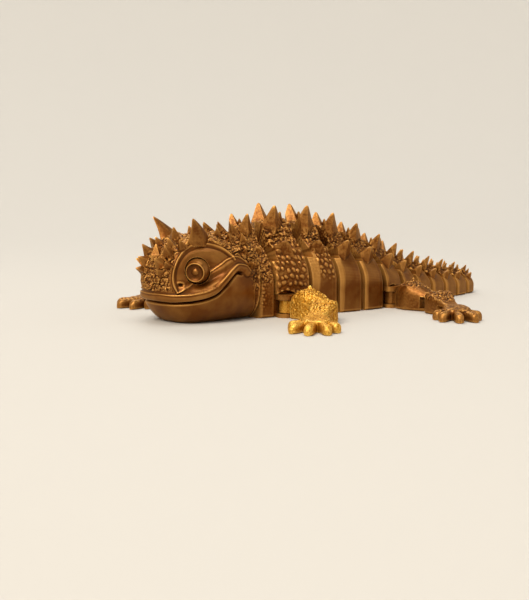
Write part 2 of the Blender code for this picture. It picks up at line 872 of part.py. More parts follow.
def horn(side, grow=0.0):
    """Return a brow horn, or with grow the wider cutter of its seat."""
    root = (-3.0 - grow, 6.6 + 0.3 * grow, 0.0)
    profile = (root, (2.5, 5.0, -1.2), (7.2, 2.7, -4.0), (11.8, 0.3, -7.8))
    rings = []
    for level, radius, forward in profile:
        ring = []
        for k in range(8):
            angle = 2.0 * math.pi * (k + 0.5) / 8
            x = -26.8 + HEAD_REAR + forward + (radius + grow) * 1.1 * math.cos(angle)
            y = 12.4 + level * 0.42 + (radius + grow) * 0.72 * math.sin(angle)
            ring.append((x, side * y, 36.6 + level))
        rings.append(ring)
    return loft("horn", rings)


def eyeball(side):
    """Return an eye: a turned ball with a raised iris ring and a domed pupil."""
    pupil = [(0.0, 0.92), (0.30, 0.86), (0.46, 0.68), (0.60, 0.80)]
    ball = [(math.sin(angle), math.cos(angle)) for angle in np.radians((48, 66, 90, 120, 150, 180))]
    obj = turned([(EYE_RADIUS * r, EYE_RADIUS * h) for r, h in pupil + ball], 14)
    x, y, z = EYE_PLACE
    aim = Vector((EYE_AIM[0], side * EYE_AIM[1], EYE_AIM[2])).normalized()
    turn = aim.to_track_quat("Z", "Y").to_matrix().to_4x4()
    place = Matrix.Translation(Vector((x + HEAD_REAR, side * y, z)) * MM)
    obj.data.transform(place @ turn)
    return obj


def eye_seat(side):
    """Return the ball that cuts an eye's seat in the head."""
    radius = EYE_RADIUS + JOINT_GAP + 0.15
    bpy.ops.mesh.primitive_uv_sphere_add(segments=16, ring_count=8, radius=radius * MM)
    obj = stash(bpy.context.object)
    x, y, z = EYE_PLACE
    obj.data.transform(Matrix.Translation(Vector((x + HEAD_REAR, side * y, z)) * MM))
    return obj


def head_body():
    """Model the head: shell, lips, sockets, spikes, seats and the rear hinge pocket."""
    body = head_shell()
    combine(body, [upper_lip(), brow_rim(1), brow_rim(-1)], "UNION", "MANIFOLD")
    combine(body, [mouth_groove(), socket_hollow(1), socket_hollow(-1)], "DIFFERENCE", "MANIFOLD")
    combine(body, head_spikes(), "UNION", "MANIFOLD")
    combine(body, [eye_seat(1), eye_seat(-1)], "DIFFERENCE")
    combine(body, [horn(1, HORN_GAP), horn(-1, HORN_GAP)], "DIFFERENCE")
    cutter, pin = rear_pocket(PIN_TO_REAR, 0.0)
    combine(body, [cutter], "DIFFERENCE")
    combine(body, [pin], "UNION")
    return body


def step(point, heading, distance):
    """Return the point at a distance from another along a plan heading in degrees."""
    turn = math.radians(heading)
    return (point[0] + distance * math.cos(turn), point[1] + distance * math.sin(turn))


def build_leg(name, pin, parts, materials, root):
    """Build and place one leg: upper limb, lower limb and hand or foot."""
    side = 1 if name.endswith("left") else -1
    is_front = name.startswith("front")
    upper_name, lower_name, end_name = parts
    headings = LEG_HEADINGS[name]
    tag = "left" if side > 0 else "right"
    upper = upper_limb(upper_name, side * (2.0 if is_front else 1.2), 7.0 if is_front else 7.8)
    finish(upper, f"{upper_name}_{tag}", materials[0], pin, headings[0], root)
    elbow = step(pin, headings[0], UPPER_LENGTH)
    lower = lower_limb(lower_name, 6.6 if is_front else 7.2)
    finish(lower, f"{lower_name}_{tag}", materials[1], elbow, headings[1], root)
    wrist = step(elbow, headings[1], LOWER_LENGTH)
    end = hand(end_name, side, 1.0 if is_front else 0.96)
    finish(end, f"{end_name}_{tag}", materials[1], wrist, headings[2], root)


def build():
    """Build the whole toy and set its bounding box's bottom middle at the origin."""
    bronze = filament("silk_bronze_filament", BRONZE)
    gold = filament("silk_gold_filament", GOLD)
    root = bpy.data.objects.new("toy_origin", None)
    TOY.objects.link(root)

    chest_pin = (0.0, 0.0)
    neck = SPINE[0]
    neck_front = step(chest_pin, neck.heading + 180.0, neck.pitch)
    neck_body = body_piece(neck, 0.0)
    neck_body.data.transform(Matrix.Translation((-neck.pitch * MM, 0.0, 0.0)))
    finish(neck_body, "neck", bronze, chest_pin, neck.heading, root)

    pieces = (
        (head_body(), "head"),
        (eyeball(1), "eye_right"),
        (eyeball(-1), "eye_left"),
        (horn(1), "brow_horn_right"),
        (horn(-1), "brow_horn_left"),
    )
    for obj, name in pieces:
        finish(obj, name, bronze, neck_front, HEAD_HEADING, root)

    pin = chest_pin
    start = neck.pitch
    leg_pins = {}
    for piece in SPINE[1:]:
        body = body_piece(piece, start, is_last=piece is SPINE[-1])
        if piece.name in ("chest", "hip"):
            along = PIN_TO_REAR + SEAM_GAP + (SHOULDER_ALONG if piece.name == "chest" else HIP_ALONG)
            leg_socket(body, along, start, 7.4 if piece.name == "chest" else 6.4)
            width = at_station(HALF_WIDTHS, start + along) - 0.4
            middle = step(pin, piece.heading, along)
            pair = "front" if piece.name == "chest" else "rear"
            leg_pins[f"{pair}_left"] = step(middle, piece.heading - 90.0, width)
            leg_pins[f"{pair}_right"] = step(middle, piece.heading + 90.0, width)
        finish(body, piece.name, bronze, pin, piece.heading, root)
        pin = step(pin, piece.heading, piece.pitch)
        start += piece.pitch

    for name, leg_pin in leg_pins.items():
        front = name.startswith("front")
        parts = ("upper_arm", "forearm", "hand") if front else ("thigh", "shin", "foot")
        materials = (gold, gold) if name == "front_left" else (bronze, bronze)
        build_leg(name, leg_pin, parts, materials, root)

    bpy.context.view_layer.update()
    corners = []
    for obj in TOY.objects:
        if obj.type == "MESH":
            corners += [obj.matrix_world @ vertex.co for vertex in obj.data.vertices]
    low = [min(c[i] for c in corners) for i in range(3)]
    high = [max(c[i] for c in corners) for i in range(3)]
    root.location = (-(low[0] + high[0]) / 2.0, -(low[1] + high[1]) / 2.0, -low[2])
    bpy.context.view_layer.update()
    bpy.data.collections.remove(TOOLS)


build()
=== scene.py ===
"""Looks of an articulated thorny devil toy, printed in silk bronze and gold filament.

Sizes are in millimetres, and MM turns them into metres. Each printed piece is modelled about its
own hinge pin, with +X towards the tail or the fingertips, and is then turned and moved to the
place that the frame gives it. A piece's finish comes from one of two silk filaments.
"""
import itertools
import json
import logging
import math
from collections.abc import Callable, Sequence
from dataclasses import dataclass, field
from enum import Enum

import bmesh
import bpy
import numpy as np
from mathutils import Matrix, Vector


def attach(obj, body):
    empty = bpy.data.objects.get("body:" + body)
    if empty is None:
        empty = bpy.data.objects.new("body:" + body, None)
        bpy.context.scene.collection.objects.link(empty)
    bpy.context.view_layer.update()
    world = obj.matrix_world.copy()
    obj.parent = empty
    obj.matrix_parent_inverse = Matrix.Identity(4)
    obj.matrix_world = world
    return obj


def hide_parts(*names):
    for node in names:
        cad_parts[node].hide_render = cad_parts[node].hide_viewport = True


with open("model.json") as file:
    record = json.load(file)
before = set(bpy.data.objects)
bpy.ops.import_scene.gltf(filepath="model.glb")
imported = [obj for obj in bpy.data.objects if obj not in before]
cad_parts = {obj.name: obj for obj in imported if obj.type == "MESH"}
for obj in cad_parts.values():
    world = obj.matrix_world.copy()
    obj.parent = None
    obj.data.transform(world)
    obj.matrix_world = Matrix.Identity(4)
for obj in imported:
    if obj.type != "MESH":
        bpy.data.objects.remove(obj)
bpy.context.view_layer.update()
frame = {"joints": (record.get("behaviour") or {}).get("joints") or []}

LOG = logging.getLogger("thorny_devil")
MM = 0.001

Grid = np.ndarray
Place = tuple[float, float]
Triple = tuple[float, float, float]

# Body sizes along the spine, read from the neck's front pin
SPINE_STATIONS = (0, 10, 30, 46, 61, 76, 91, 105, 118, 131, 144, 157, 174)
HALF_WIDTHS = (19.0, 19.6, 21.0, 21.8, 21.2, 19.6, 16.2, 13.0, 11.2, 9.9, 8.8, 7.8, 6.0)
CREST_HEIGHTS = (39.5, 43.5, 45.5, 43.5, 40.0, 36.0, 30.0, 24.5, 20.8, 18.4, 16.4, 14.8, 12.0)
SPIKE_HEIGHTS = (6.5, 8.5, 12.0, 10.5, 8.5, 7.2, 7.0, 6.4, 5.8, 5.2, 4.8, 4.4, 3.6)

# Resolution of the printed surfaces
SURFACE_STEP = 0.36
ROUND_SIDES = 28

# Sides of the random tables, which repeat beyond them
NOISE_TABLE_SIZE = 32
JITTER_TABLE_SIZE = 64

# Places measured at once, so that the table of pairs stays small
LINE_BLOCK = 4000

# How far cutters run on past the surface, in millimetres
PAST = 12.0

# Points closer than this are one point, in metres
WELD = 0.000002


class Side(Enum):
    """A side of the animal, with the sign of its Y."""

    LEFT = -1
    RIGHT = 1

    @property
    def word(self) -> str:
        """Return the side's word, as node names end with it."""
        return self.name.lower()


class Bool(Enum):
    """What one Boolean does with its tools."""

    CUT = "DIFFERENCE"
    JOIN = "UNION"


# Shape tools


def smooth(value: Grid | float) -> Grid:
    """Return the smooth step of a value: 0 below 0 and 1 above 1."""
    share = np.clip(value, 0.0, 1.0)
    return share * share * (3.0 - 2.0 * share)


def flowing(x: Grid | float, knots: Sequence[float], values: Sequence[float]) -> Grid:
    """Interpolate with a curve that never overshoots its knots.

    Args:
        x: Where to read the curve.
        knots: Rising places of the known values.
        values: The known values.

    Returns:
        The curve's value at each place.
    """
    at = np.asarray(knots, float)
    known = np.asarray(values, float)
    gap = np.diff(at)
    slope = np.diff(known) / gap
    tangent = np.zeros_like(known)
    tangent[0] = slope[0]
    tangent[-1] = slope[-1]
    before = slope[:-1]
    after = slope[1:]
    total = np.where(np.abs(before + after) < 1e-12, 1.0, before + after)
    tangent[1:-1] = np.where(before * after > 0.0, 2.0 * before * after / total, 0.0)
    k = np.clip(np.searchsorted(at, x) - 1, 0, len(gap) - 1)
    t = np.clip((np.asarray(x, float) - at[k]) / gap[k], 0.0, 1.0)
    rise = known[k + 1] - known[k]
    bend = t * (1.0 - t) * gap[k] * ((1.0 - t) * tangent[k] - t * tangent[k + 1])
    return known[k] + rise * t * t * (3.0 - 2.0 * t) + bend


def value_noise(points: Grid, cell: float, seed: int) -> Grid:
    """Return smooth noise between -1 and 1.

    Args:
        points: Places in millimetres, with X, Y and Z last.
        cell: Size of one lump in millimetres.
        seed: Seed of the random table.

    Returns:
        One value for each place.
    """
    size = NOISE_TABLE_SIZE
    table = np.random.default_rng(seed).uniform(-1.0, 1.0, (size, size, size))
    scaled = points / cell
    base = np.floor(scaled).astype(int)
    share = smooth(scaled - base)
    total = np.zeros(points.shape[:-1])
    for corner in itertools.product((0, 1), repeat=3):
        weight = np.prod(np.where(corner, share, 1.0 - share), axis=-1)
        index = (base + corner) % size
        total += weight * table[index[..., 0], index[..., 1], index[..., 2]]
    return total


def pebbles(u: Grid, v: Grid, pitch: Place, seed: int) -> Grid:
    """Return the heights of rows of small domes, from 0 between them to 1 on their tops.

    Args:
        u: Distance along the rows in millimetres.
        v: Distance across the rows in millimetres.
        pitch: Spacing of the domes along and across the rows.
        seed: Seed of their places and sizes.

    Returns:
        One height for each place.
    """
    size = JITTER_TABLE_SIZE
    table = np.random.default_rng(seed).uniform(-0.5, 0.5, (size, size, 3))
    best = np.zeros(np.broadcast(u, v).shape)
    first_row = np.floor(v / pitch[1])
    for row_step, column_step in itertools.product((-1, 0, 1), repeat=2):
        row = first_row + row_step
        shift = 0.5 * (row % 2)
        column = np.floor(u / pitch[0] - shift) + column_step
        jitter = table[column.astype(int) % size, row.astype(int) % size]
        middle_u = (column + 0.5 + shift + 0.4 * jitter[..., 0]) * pitch[0]
        middle_v = (row + 0.5 + 0.4 * jitter[..., 1]) * pitch[1]
        reach = 0.37 + 0.22 * jitter[..., 2]
        apart = ((u - middle_u) / (pitch[0] * reach)) ** 2 + ((v - middle_v) / (pitch[1] * reach)) ** 2
        best = np.maximum(best, np.clip(1.0 - apart, 0.0, 1.0) ** 0.75)
    return best


def cells(points: Grid, cell: float, seed: int) -> Grid:
    """Return blocky lumps with tilted flat tops, from about 0 to 1, parted by creases.

    Args:
        points: Places in millimetres, with X, Y and Z last.
        cell: Size of one lump in millimetres.
        seed: Seed of the lumps' places, heights and tilts.

    Returns:
        One height for each place.
    """
    size = NOISE_TABLE_SIZE
    table = np.random.default_rng(seed).uniform(-0.5, 0.5, (size, size, size, 7))
    scaled = points / cell
    base = np.floor(scaled).astype(int)
    nearest = np.full(points.shape[:-1], 9.0)
    second = nearest.copy()
    height = np.zeros_like(nearest)
    for corner in itertools.product((-1, 0, 1), repeat=3):
        index = base + corner
        wrapped = index % size
        draw = table[wrapped[..., 0], wrapped[..., 1], wrapped[..., 2]]
        offset = scaled - (index + 0.5 + 0.8 * draw[..., :3])
        apart = np.sqrt((offset**2).sum(axis=-1))
        top = 0.6 + 0.6 * draw[..., 3] + 1.3 * (offset * draw[..., 4:]).sum(axis=-1)
        is_nearer = apart < nearest
        second = np.where(is_nearer, nearest, np.minimum(second, apart))
        height = np.where(is_nearer, top, height)
        nearest = np.minimum(nearest, apart)
    return height * smooth((second - nearest) / 0.22)


def surface_normals(grid: Grid) -> Grid:
    """Return the outward directions of a half shell's points.

    Args:
        grid: Points in rows along +X, each from the keel up the right side to the crown.

    Returns:
        Unit vectors of the same shape.
    """
    along = np.gradient(grid, axis=0)
    around = np.gradient(grid, axis=1)
    normals = np.cross(around, along)
    length = np.linalg.norm(normals, axis=-1, keepdims=True)
    return normals / np.maximum(length, 1e-9)


def resample(outline: Grid, count: int) -> Grid:
    """Space points evenly along an outline.

    Args:
        outline: The outline's points in order.
        count: How many points to return.

    Returns:
        The new points, from the outline's start to its end.
    """
    steps = np.linalg.norm(np.diff(outline, axis=0), axis=1)
    reach = np.concatenate(([0.0], np.cumsum(steps)))
    at = np.linspace(0.0, reach[-1], count)
    return np.stack([np.interp(at, reach, outline[:, k]) for k in range(outline.shape[1])], axis=1)


def bezier(start: Place, pull: Place, end: Place, count: int = 14) -> Grid:
    """Draw a curve that leaves one place towards a second and arrives from it at a third.

    Args:
        start: Where the curve begins.
        pull: The place that bends it.
        end: Where it ends.
        count: How many points to return.

    Returns:
        Points along the curve, without its start.
    """
    t = np.linspace(0.0, 1.0, count + 1)[1:, None]
    a, b, c = (np.asarray(p, float) for p in (start, pull, end))
    return (1 - t) ** 2 * a + 2 * t * (1 - t) * b + t * t * c


def distance_to_line(points: Grid, line: Grid) -> Grid:
    """Measure how far places are from a line.

    Args:
        points: Places in millimetres, with X, Y and Z last.
        line: Finely spaced points of the line.

    Returns:
        One distance for each place.
    """
    flat = points.reshape(-1, 3)
    nearest = np.empty(len(flat))
    for start in range(0, len(flat), LINE_BLOCK):
        block = flat[start : start + LINE_BLOCK]
        apart = ((block[:, None, :] - line[None, :, :]) ** 2).sum(axis=2)
        nearest[start : start + LINE_BLOCK] = np.sqrt(apart.min(axis=1))
    return nearest.reshape(points.shape[:-1])


# Mesh tools


def new_object(name: str, points: Grid, faces: Sequence[Sequence[int]]) -> bpy.types.Object:
    """Make an object of closed surfaces, with its normals outwards.

    Args:
        name: Name of the object and its mesh.
        points: Its points in millimetres.
        faces: The numbers of each face's points.

    Returns:
        The new object, in the scene.
    """
    mesh = bpy.data.meshes.new(name)
    mesh.from_pydata((np.asarray(points) * MM).tolist(), [], faces)
    work = bmesh.new()
    work.from_mesh(mesh)
    bmesh.ops.remove_doubles(work, verts=work.verts, dist=WELD)
    bmesh.ops.recalc_face_normals(work, faces=work.faces)
    work.to_mesh(mesh)
    work.free()
    obj = bpy.data.objects.new(name, mesh)
    bpy.context.scene.collection.objects.link(obj)
    return obj


def skin_rings(name: str, rings: Grid, split_caps: bool = False) -> bpy.types.Object:
    """Close rings of points into one body.

    Args:
        name: Name of the new object.
        rings: Points of shape rings by corners by 3.
        split_caps: Close each end with two flat faces that meet on the middle plane.

    Returns:
        The new object.
    """
    rows, count = rings.shape[:2]
    faces = []
    for row in range(rows - 1):
        for k in range(count):
            a = row * count + k
            b = row * count + (k + 1) % count
            faces.append((a, b, b + count, a + count))
    for start in (0, (rows - 1) * count):
        if split_caps:
            faces.append([start + k for k in range(count // 2 + 1)])
            faces.append([start + k % count for k in range(count // 2, count + 1)])
        else:
            faces.append([start + k for k in range(count)])
    return new_object(name, rings.reshape(-1, 3), faces)


def skin_half(name: str, right: Grid) -> bpy.types.Object:
    """Mirror a half shell over the middle plane and close it into one body.

    Args:
        name: Name of the new object.
        right: The right half's grid, each row from the keel to the crown.

    Returns:
        The new object.
    """
    right = right.copy()
    right[:, 0, 1] = 0.0
    right[:, -1, 1] = 0.0
    left = right[:, -2:0:-1] * np.array((1.0, -1.0, 1.0))
    return skin_rings(name, np.concatenate((right, left), axis=1), split_caps=True)


def box(x_range: Place, y_range: Place, z_range: Place) -> bpy.types.Object:
    """Make a cutter or tongue with square sides.

    Args:
        x_range: Its lowest and highest X.
        y_range: Its lowest and highest Y.
        z_range: Its lowest and highest Z.

    Returns:
        The new object.
    """
    corners = np.array(list(itertools.product(x_range, y_range, z_range)))
    faces = [(0, 1, 3, 2), (4, 6, 7, 5), (0, 4, 5, 1), (2, 3, 7, 6), (0, 2, 6, 4), (1, 5, 7, 3)]
    return new_object("box", corners, faces)


def prism(plan: Sequence[Place], z_range: Place) -> bpy.types.Object:
    """Make an upright body with a given plan.

    Args:
        plan: The corners of its plan.
        z_range: Its lowest and highest Z.

    Returns:
        The new object.
    """
    rings = np.stack([np.column_stack((plan, np.full(len(plan), z))) for z in z_range])
    return skin_rings("prism", rings)


def rod(radius: float, z_range: Place, at: Place = (0.0, 0.0)) -> bpy.types.Object:
    """Make an upright round body.

    Args:
        radius: Its radius.
        z_range: Its lowest and highest Z.
        at: The place of its axis.

    Returns:
        The new object.
    """
    angle = 2.0 * math.pi * np.arange(ROUND_SIDES) / ROUND_SIDES
    ring = np.stack((at[0] + radius * np.cos(angle), at[1] + radius * np.sin(angle)), axis=1)
    return prism(ring, z_range)


def turned(name: str, profile: Grid, steps: int = 40) -> bpy.types.Object:
    """Turn a profile about Z.

    Args:
        name: Name of the new object.
        profile: Its radii and heights, from its top point to its bottom point.
        steps: How many sides it has round the axis.

    Returns:
        The new object.
    """
    angle = 2.0 * math.pi * np.arange(steps) / steps
    inner = profile[1:-1]
    points = [(0.0, 0.0, profile[0, 1])]
    points += [(r * math.cos(a), r * math.sin(a), z) for r, z in inner for a in angle]
    points.append((0.0, 0.0, profile[-1, 1]))
    faces = [(0, 1 + k, 1 + (k + 1) % steps) for k in range(steps)]
    for row in range(len(inner) - 1):
        start = 1 + row * steps
        for k in range(steps):
            after = (k + 1) % steps
            faces.append((start + k, start + steps + k, start + steps + after, start + after))
    last = len(points) - 1
    faces += [(last, last - steps + (k + 1) % steps, last - steps + k) for k in range(steps)]
    return new_object(name, np.array(points), faces)


# Painted light: the colour turns this convexity into painted shade in creases and painted highlights on
# edges.
def wear(mesh: bpy.types.Mesh, rounds: int = 2) -> Grid:
    """Return how far each point of a mesh stands out: 0 in creases, 0.5 on flats, 1 on edges.

    Args:
        mesh: The mesh to look at.
        rounds: How often each value is averaged with its neighbours'.

    Returns:
        One value for each of its points.
    """
    count = len(mesh.vertices)
    places = np.empty(count * 3)
    normals = np.empty(count * 3)
    pairs = np.empty(len(mesh.edges) * 2, dtype=int)
    mesh.vertices.foreach_get("co", places)
    mesh.vertices.foreach_get("normal", normals)
    mesh.edges.foreach_get("vertices", pairs)
    places = places.reshape(-1, 3) / MM
    normals = normals.reshape(-1, 3)
    a, b = pairs.reshape(-1, 2).T
    ends = np.concatenate((a, b))
    others = np.concatenate((b, a))
    apart = places[others] - places[ends]
    square = np.maximum((apart**2).sum(axis=1), 0.02)
    bend = -(apart * normals[ends]).sum(axis=1) / square
    share = np.maximum(np.bincount(ends, minlength=count), 1)
    value = np.bincount(ends, weights=bend, minlength=count) / share
    for _ in range(rounds):
        around = np.bincount(ends, weights=np.clip(value[others], -2.0, 2.0), minlength=count) / share
        value = 0.4 * np.clip(value, -2.0, 2.0) + 0.6 * around
    return np.clip(0.5 + 0.8 * value, 0.0, 1.0)


def combine(target: bpy.types.Object, tools: Sequence[bpy.types.Object], how: Bool) -> None:
    """Apply one Boolean between a body and a group of closed bodies.

    Args:
        target: The body to change.
        tools: The other bodies, which are used up.
        how: Whether they are cut out or joined on.
    """
    group = bpy.data.collections.new("group")
    bpy.context.scene.collection.children.link(group)
    for tool in tools:
        group.objects.link(tool)
    modifier = target.modifiers.new("combine", "BOOLEAN")
    modifier.operation = how.value
    modifier.operand_type = "COLLECTION"
    modifier.collection = group
    modifier.solver = "MANIFOLD"
    bpy.context.view_layer.update()
    graph = bpy.context.evaluated_depsgraph_get()
    result = bpy.data.meshes.new_from_object(target.evaluated_get(graph))
    target.modifiers.clear()
    target.data = result
    for tool in tools:
        bpy.data.objects.remove(tool, do_unlink=True)
    bpy.data.collections.remove(group)


def fuse(target: bpy.types.Object, voxel: float, rounds: int) -> None:
    """Melt the joins of a body by remeshing it in small cubes and relaxing the result.

    Args:
        target: The closed body to change.
        voxel: Size of a cube in millimetres.
        rounds: How often each point moves towards its neighbours.
    """
    remesh = target.modifiers.new("remesh", "REMESH")
    remesh.mode = "VOXEL"
    remesh.voxel_size = voxel * MM
    relax = target.modifiers.new("relax", "SMOOTH")
    relax.factor = 0.5
    relax.iterations = rounds
    graph = bpy.context.evaluated_depsgraph_get()
    result = bpy.data.meshes.new_from_object(target.evaluated_get(graph))
    target.modifiers.clear()
    target.data = result


# Heights of a thorn's rings, as shares of its height: close at its flared root and blunt tip
THORN_LEVELS = (0.0, 0.04, 0.10, 0.20, 0.34, 0.50, 0.66, 0.80, 0.91, 0.97, 1.0)


@dataclass(frozen=True)
class Spike:
    """A thorn with flat sides, a flared root, hollow edges and a blunt tip.

    It stands on root and points along aim. The lean is how far its tip hangs back, the tip is as
    wide as tip_share of the root, crispness is how flat its sides are, and stretch is how much
    longer than wide its section is. A swell above 1 makes it bulge like a fin.
    """

    root: Triple
    aim: Triple
    height: float
    radius: float
    lean: float = 0.10
    stretch: float = 1.2
    corners: int = 4
    tip_share: float = 0.15
    crispness: float = 0.86
    turn: float = 0.0
    swell: float = 1.0

    def build(self) -> bpy.types.Object:
        """Make the thorn, with its root sunk below the root point.

        Returns:
            The closed body.
        """
        axis = np.array(Vector(self.aim).normalized())
        along = np.array((1.0, 0.0, 0.0)) - axis * axis[0]
        along /= np.linalg.norm(along)
        across = np.cross(axis, along)
        count = self.corners * 3
        angle = 2.0 * math.pi * np.arange(count) / count
        half_side = math.pi / self.corners
        flat = math.cos(half_side) / np.cos(angle % (2.0 * half_side) - half_side)
        section = 1.0 - self.crispness * (1.0 - flat)
        angle = angle + math.radians(self.turn)
        sink = max(self.radius * 0.9, 1.2)
        rings = []
        for share in (-sink / self.height, *THORN_LEVELS):
            rise = max(share, 0.0)
            size = 1.0 - (1.0 - self.tip_share) * rise**self.swell
            size += 0.10 * math.exp(-rise / 0.16)
            size *= math.sqrt(1.0 - 0.8 * max((rise - 0.91) / 0.09, 0.0) ** 2)
            lean = self.lean * self.height * rise**1.3
            offset = np.outer(section * np.cos(angle) * self.radius * self.stretch * size + lean, along)
            offset += np.outer(section * np.sin(angle) * self.radius * size, across)
            rings.append(np.array(self.root) + axis * (share * self.height) + offset)
        return skin_rings("spike", np.stack(rings))


# Finishes


def linear(hex_colour: str) -> tuple[float, float, float, float]:
    """Turn an sRGB hex colour into the linear colour that a shader takes.

    Args:
        hex_colour: The colour as #rrggbb.

    Returns:
        Red, green, blue and an alpha of 1.
    """
    channels = [int(hex_colour[k : k + 2], 16) / 255.0 for k in (1, 3, 5)]
    turned_linear = [c / 12.92 if c <= 0.04045 else ((c + 0.055) / 1.055) ** 2.4 for c in channels]
    return (*turned_linear, 1.0)


def add_node(tree: bpy.types.NodeTree, kind: str, settings: dict, links: dict) -> bpy.types.Node:
    """Add one shader node.

    Args:
        tree: The material's node tree.
        kind: Type of the node.
        settings: Node attributes, or values of its inputs by name or number.
        links: Output sockets for its inputs, by name or number.

    Returns:
        The new node.
    """
    node = tree.nodes.new(kind)
    for key, value in settings.items():
        if isinstance(key, str) and hasattr(node, key):
            setattr(node, key, value)
        else:
            node.inputs[key].default_value = value
    for key, socket in links.items():
        tree.links.new(socket, node.inputs[key])
    return node


@dataclass(frozen=True)
class SilkFilament:
    """Silk PLA, a glossy metallic-looking plastic laid down in fine flat layers.

    The layers catch the light as fine level lines, and the rough tops of the print glitter through
    bumps and painted glints. The colour also holds painted shade in hollows and painted highlights on edges.
    """

    name: str
    # The darkest colour is painted shade for creases and the lightest is painted highlight for edges and
    # glints; both also tint the random tone
    deep: str
    base: str
    bright: str
    metallic: float = 0.64
    roughness: float = 0.39
    layer_mm: float = 0.5
    grit_mm: float = 0.75
    # Size of the painted glints, and how strongly they lighten and darken the rough print
    fleck_mm: float = 1.1
    sparkle: float = 1.9
    sheen: str = "#ffdca4"
    cloud_mm: float = 9.0
    coat: float = 0.06
    coat_roughness: float = 0.22
    layer_bump_mm: float = 0.06
    grit_bump_mm: float = 0.8

    def build(self) -> bpy.types.Material:
        """Make the filament's shader.

        Returns:
            The new material.
        """
        material = bpy.data.materials.new(self.name)
        material.use_nodes = True
        tree = material.node_tree
        shader = tree.nodes["Principled BSDF"]
        shader.inputs["Metallic"].default_value = self.metallic
        shader.inputs["Specular Tint"].default_value = linear(self.sheen)
        shader.inputs["Coat Weight"].default_value = self.coat
        shader.inputs["Coat Roughness"].default_value = self.coat_roughness
        place = add_node(tree, "ShaderNodeTexCoord", {}, {}).outputs["Object"]
        grit = add_node(tree, "ShaderNodeAttribute", {"attribute_name": "grit"}, {}).outputs["Fac"]
        cloud, glint_noise, grain = (
            add_node(
                tree,
                "ShaderNodeTexNoise",
                {"Scale": 1.0 / (size_mm * MM), "Detail": detail},
                {"Vector": place},
            ).outputs["Fac"]
            for size_mm, detail in ((self.cloud_mm, 3.0), (self.fleck_mm, 2.0), (self.grit_mm, 3.0))
        )
        tree.links.new(self.colour(tree, grit, cloud, glint_noise), shader.inputs["Base Color"])
        rough = add_node(
            tree,
            "ShaderNodeMapRange",
            {"To Min": self.roughness - 0.07, "To Max": self.roughness + 0.10},
            {"Value": cloud},
        )
        tree.links.new(rough.outputs["Result"], shader.inputs["Roughness"])
        tree.links.new(self.relief(tree, place, grit, grain), shader.inputs["Normal"])
        return material

    def colour(
        self,
        tree: bpy.types.NodeTree,
        grit: bpy.types.NodeSocket,
        cloud: bpy.types.NodeSocket,
        glint_noise: bpy.types.NodeSocket,
    ) -> bpy.types.NodeSocket:
        """Mix the filament's colours, with painted shade in hollows and painted highlights on edges and
        glints.

        Args:
            tree: The material's node tree.
            grit: How rough the print is.
            cloud: Broad noise, for tones that drift.
            glint_noise: Fine noise, painted as light and dark glints where the print is rough.

        Returns:
            The colour's socket.
        """
        # Painted shade in creases and painted highlights on edges, read from the mesh's convexity
        edge = add_node(tree, "ShaderNodeAttribute", {"attribute_name": "wear"}, {}).outputs["Fac"]
        tone = add_node(
            tree,
            "ShaderNodeMath",
            {"operation": "MULTIPLY_ADD", 1: 0.35, 2: -0.17},
            {0: cloud},
        ).outputs[0]
        plain = add_node(tree, "ShaderNodeMath", {"operation": "ADD"}, {0: edge, 1: tone}).outputs[0]
        # Painted glints: light and dark specks, scaled by the grit, that stand in for light glittering on the
        # rough print
        painted_glints = add_node(
            tree,
            "ShaderNodeMath",
            {"operation": "MULTIPLY_ADD", 1: self.sparkle, 2: -0.5 * self.sparkle},
            {0: glint_noise},
        ).outputs[0]
        level = add_node(
            tree,
            "ShaderNodeMath",
            {"operation": "MULTIPLY_ADD"},
            {0: painted_glints, 1: grit, 2: plain},
        ).outputs[0]
        # Ramp from the painted shade colour in creases, through the base colour, to the painted highlight
        # colour on edges and glints
        ramp = add_node(tree, "ShaderNodeValToRGB", {}, {"Fac": level})
        stops = ramp.color_ramp.elements
        stops[0].position = 0.10
        stops[0].color = linear(self.deep)
        stops[1].position = 0.95
        stops[1].color = linear(self.bright)
        middle = stops.new(0.48)
        middle.color = linear(self.base)
        return ramp.outputs["Color"]

    def relief(
        self,
        tree: bpy.types.NodeTree,
        place: bpy.types.NodeSocket,
        grit: bpy.types.NodeSocket,
        grain: bpy.types.NodeSocket,
    ) -> bpy.types.NodeSocket:
        """Raise the layer lines, and the grit where the print's top is rough.

        Args:
            tree: The material's node tree.
            place: Object coordinates.
            grit: How rough the print is.
            grain: The grit's noise.

        Returns:
            The normal's socket.
        """
        # Real layers are 0.2 mm thick, too fine to show here, so they are drawn layer_mm apart
        bands = add_node(
            tree,
            "ShaderNodeTexWave",
            {
                "bands_direction": "Z",
                "Scale": 2.0 * math.pi / (20.0 * self.layer_mm * MM),
                "Distortion": 0.6,
                "Detail": 1.0,
                "Detail Scale": 0.2,
            },
            {"Vector": place},
        )
        layers = add_node(
            tree,
            "ShaderNodeBump",
            {"Strength": 0.16, "Distance": self.layer_bump_mm * MM},
            {"Height": bands.outputs["Fac"]},
        )
        strength = add_node(
            tree,
            "ShaderNodeMath",
            {"operation": "MULTIPLY_ADD", 1: 0.85, 2: 0.04},
            {0: grit},
        ).outputs[0]
        return add_node(
            tree,
            "ShaderNodeBump",
            {"Distance": self.grit_bump_mm * MM},
            {"Height": grain, "Strength": strength, "Normal": layers.outputs["Normal"]},
        ).outputs["Normal"]


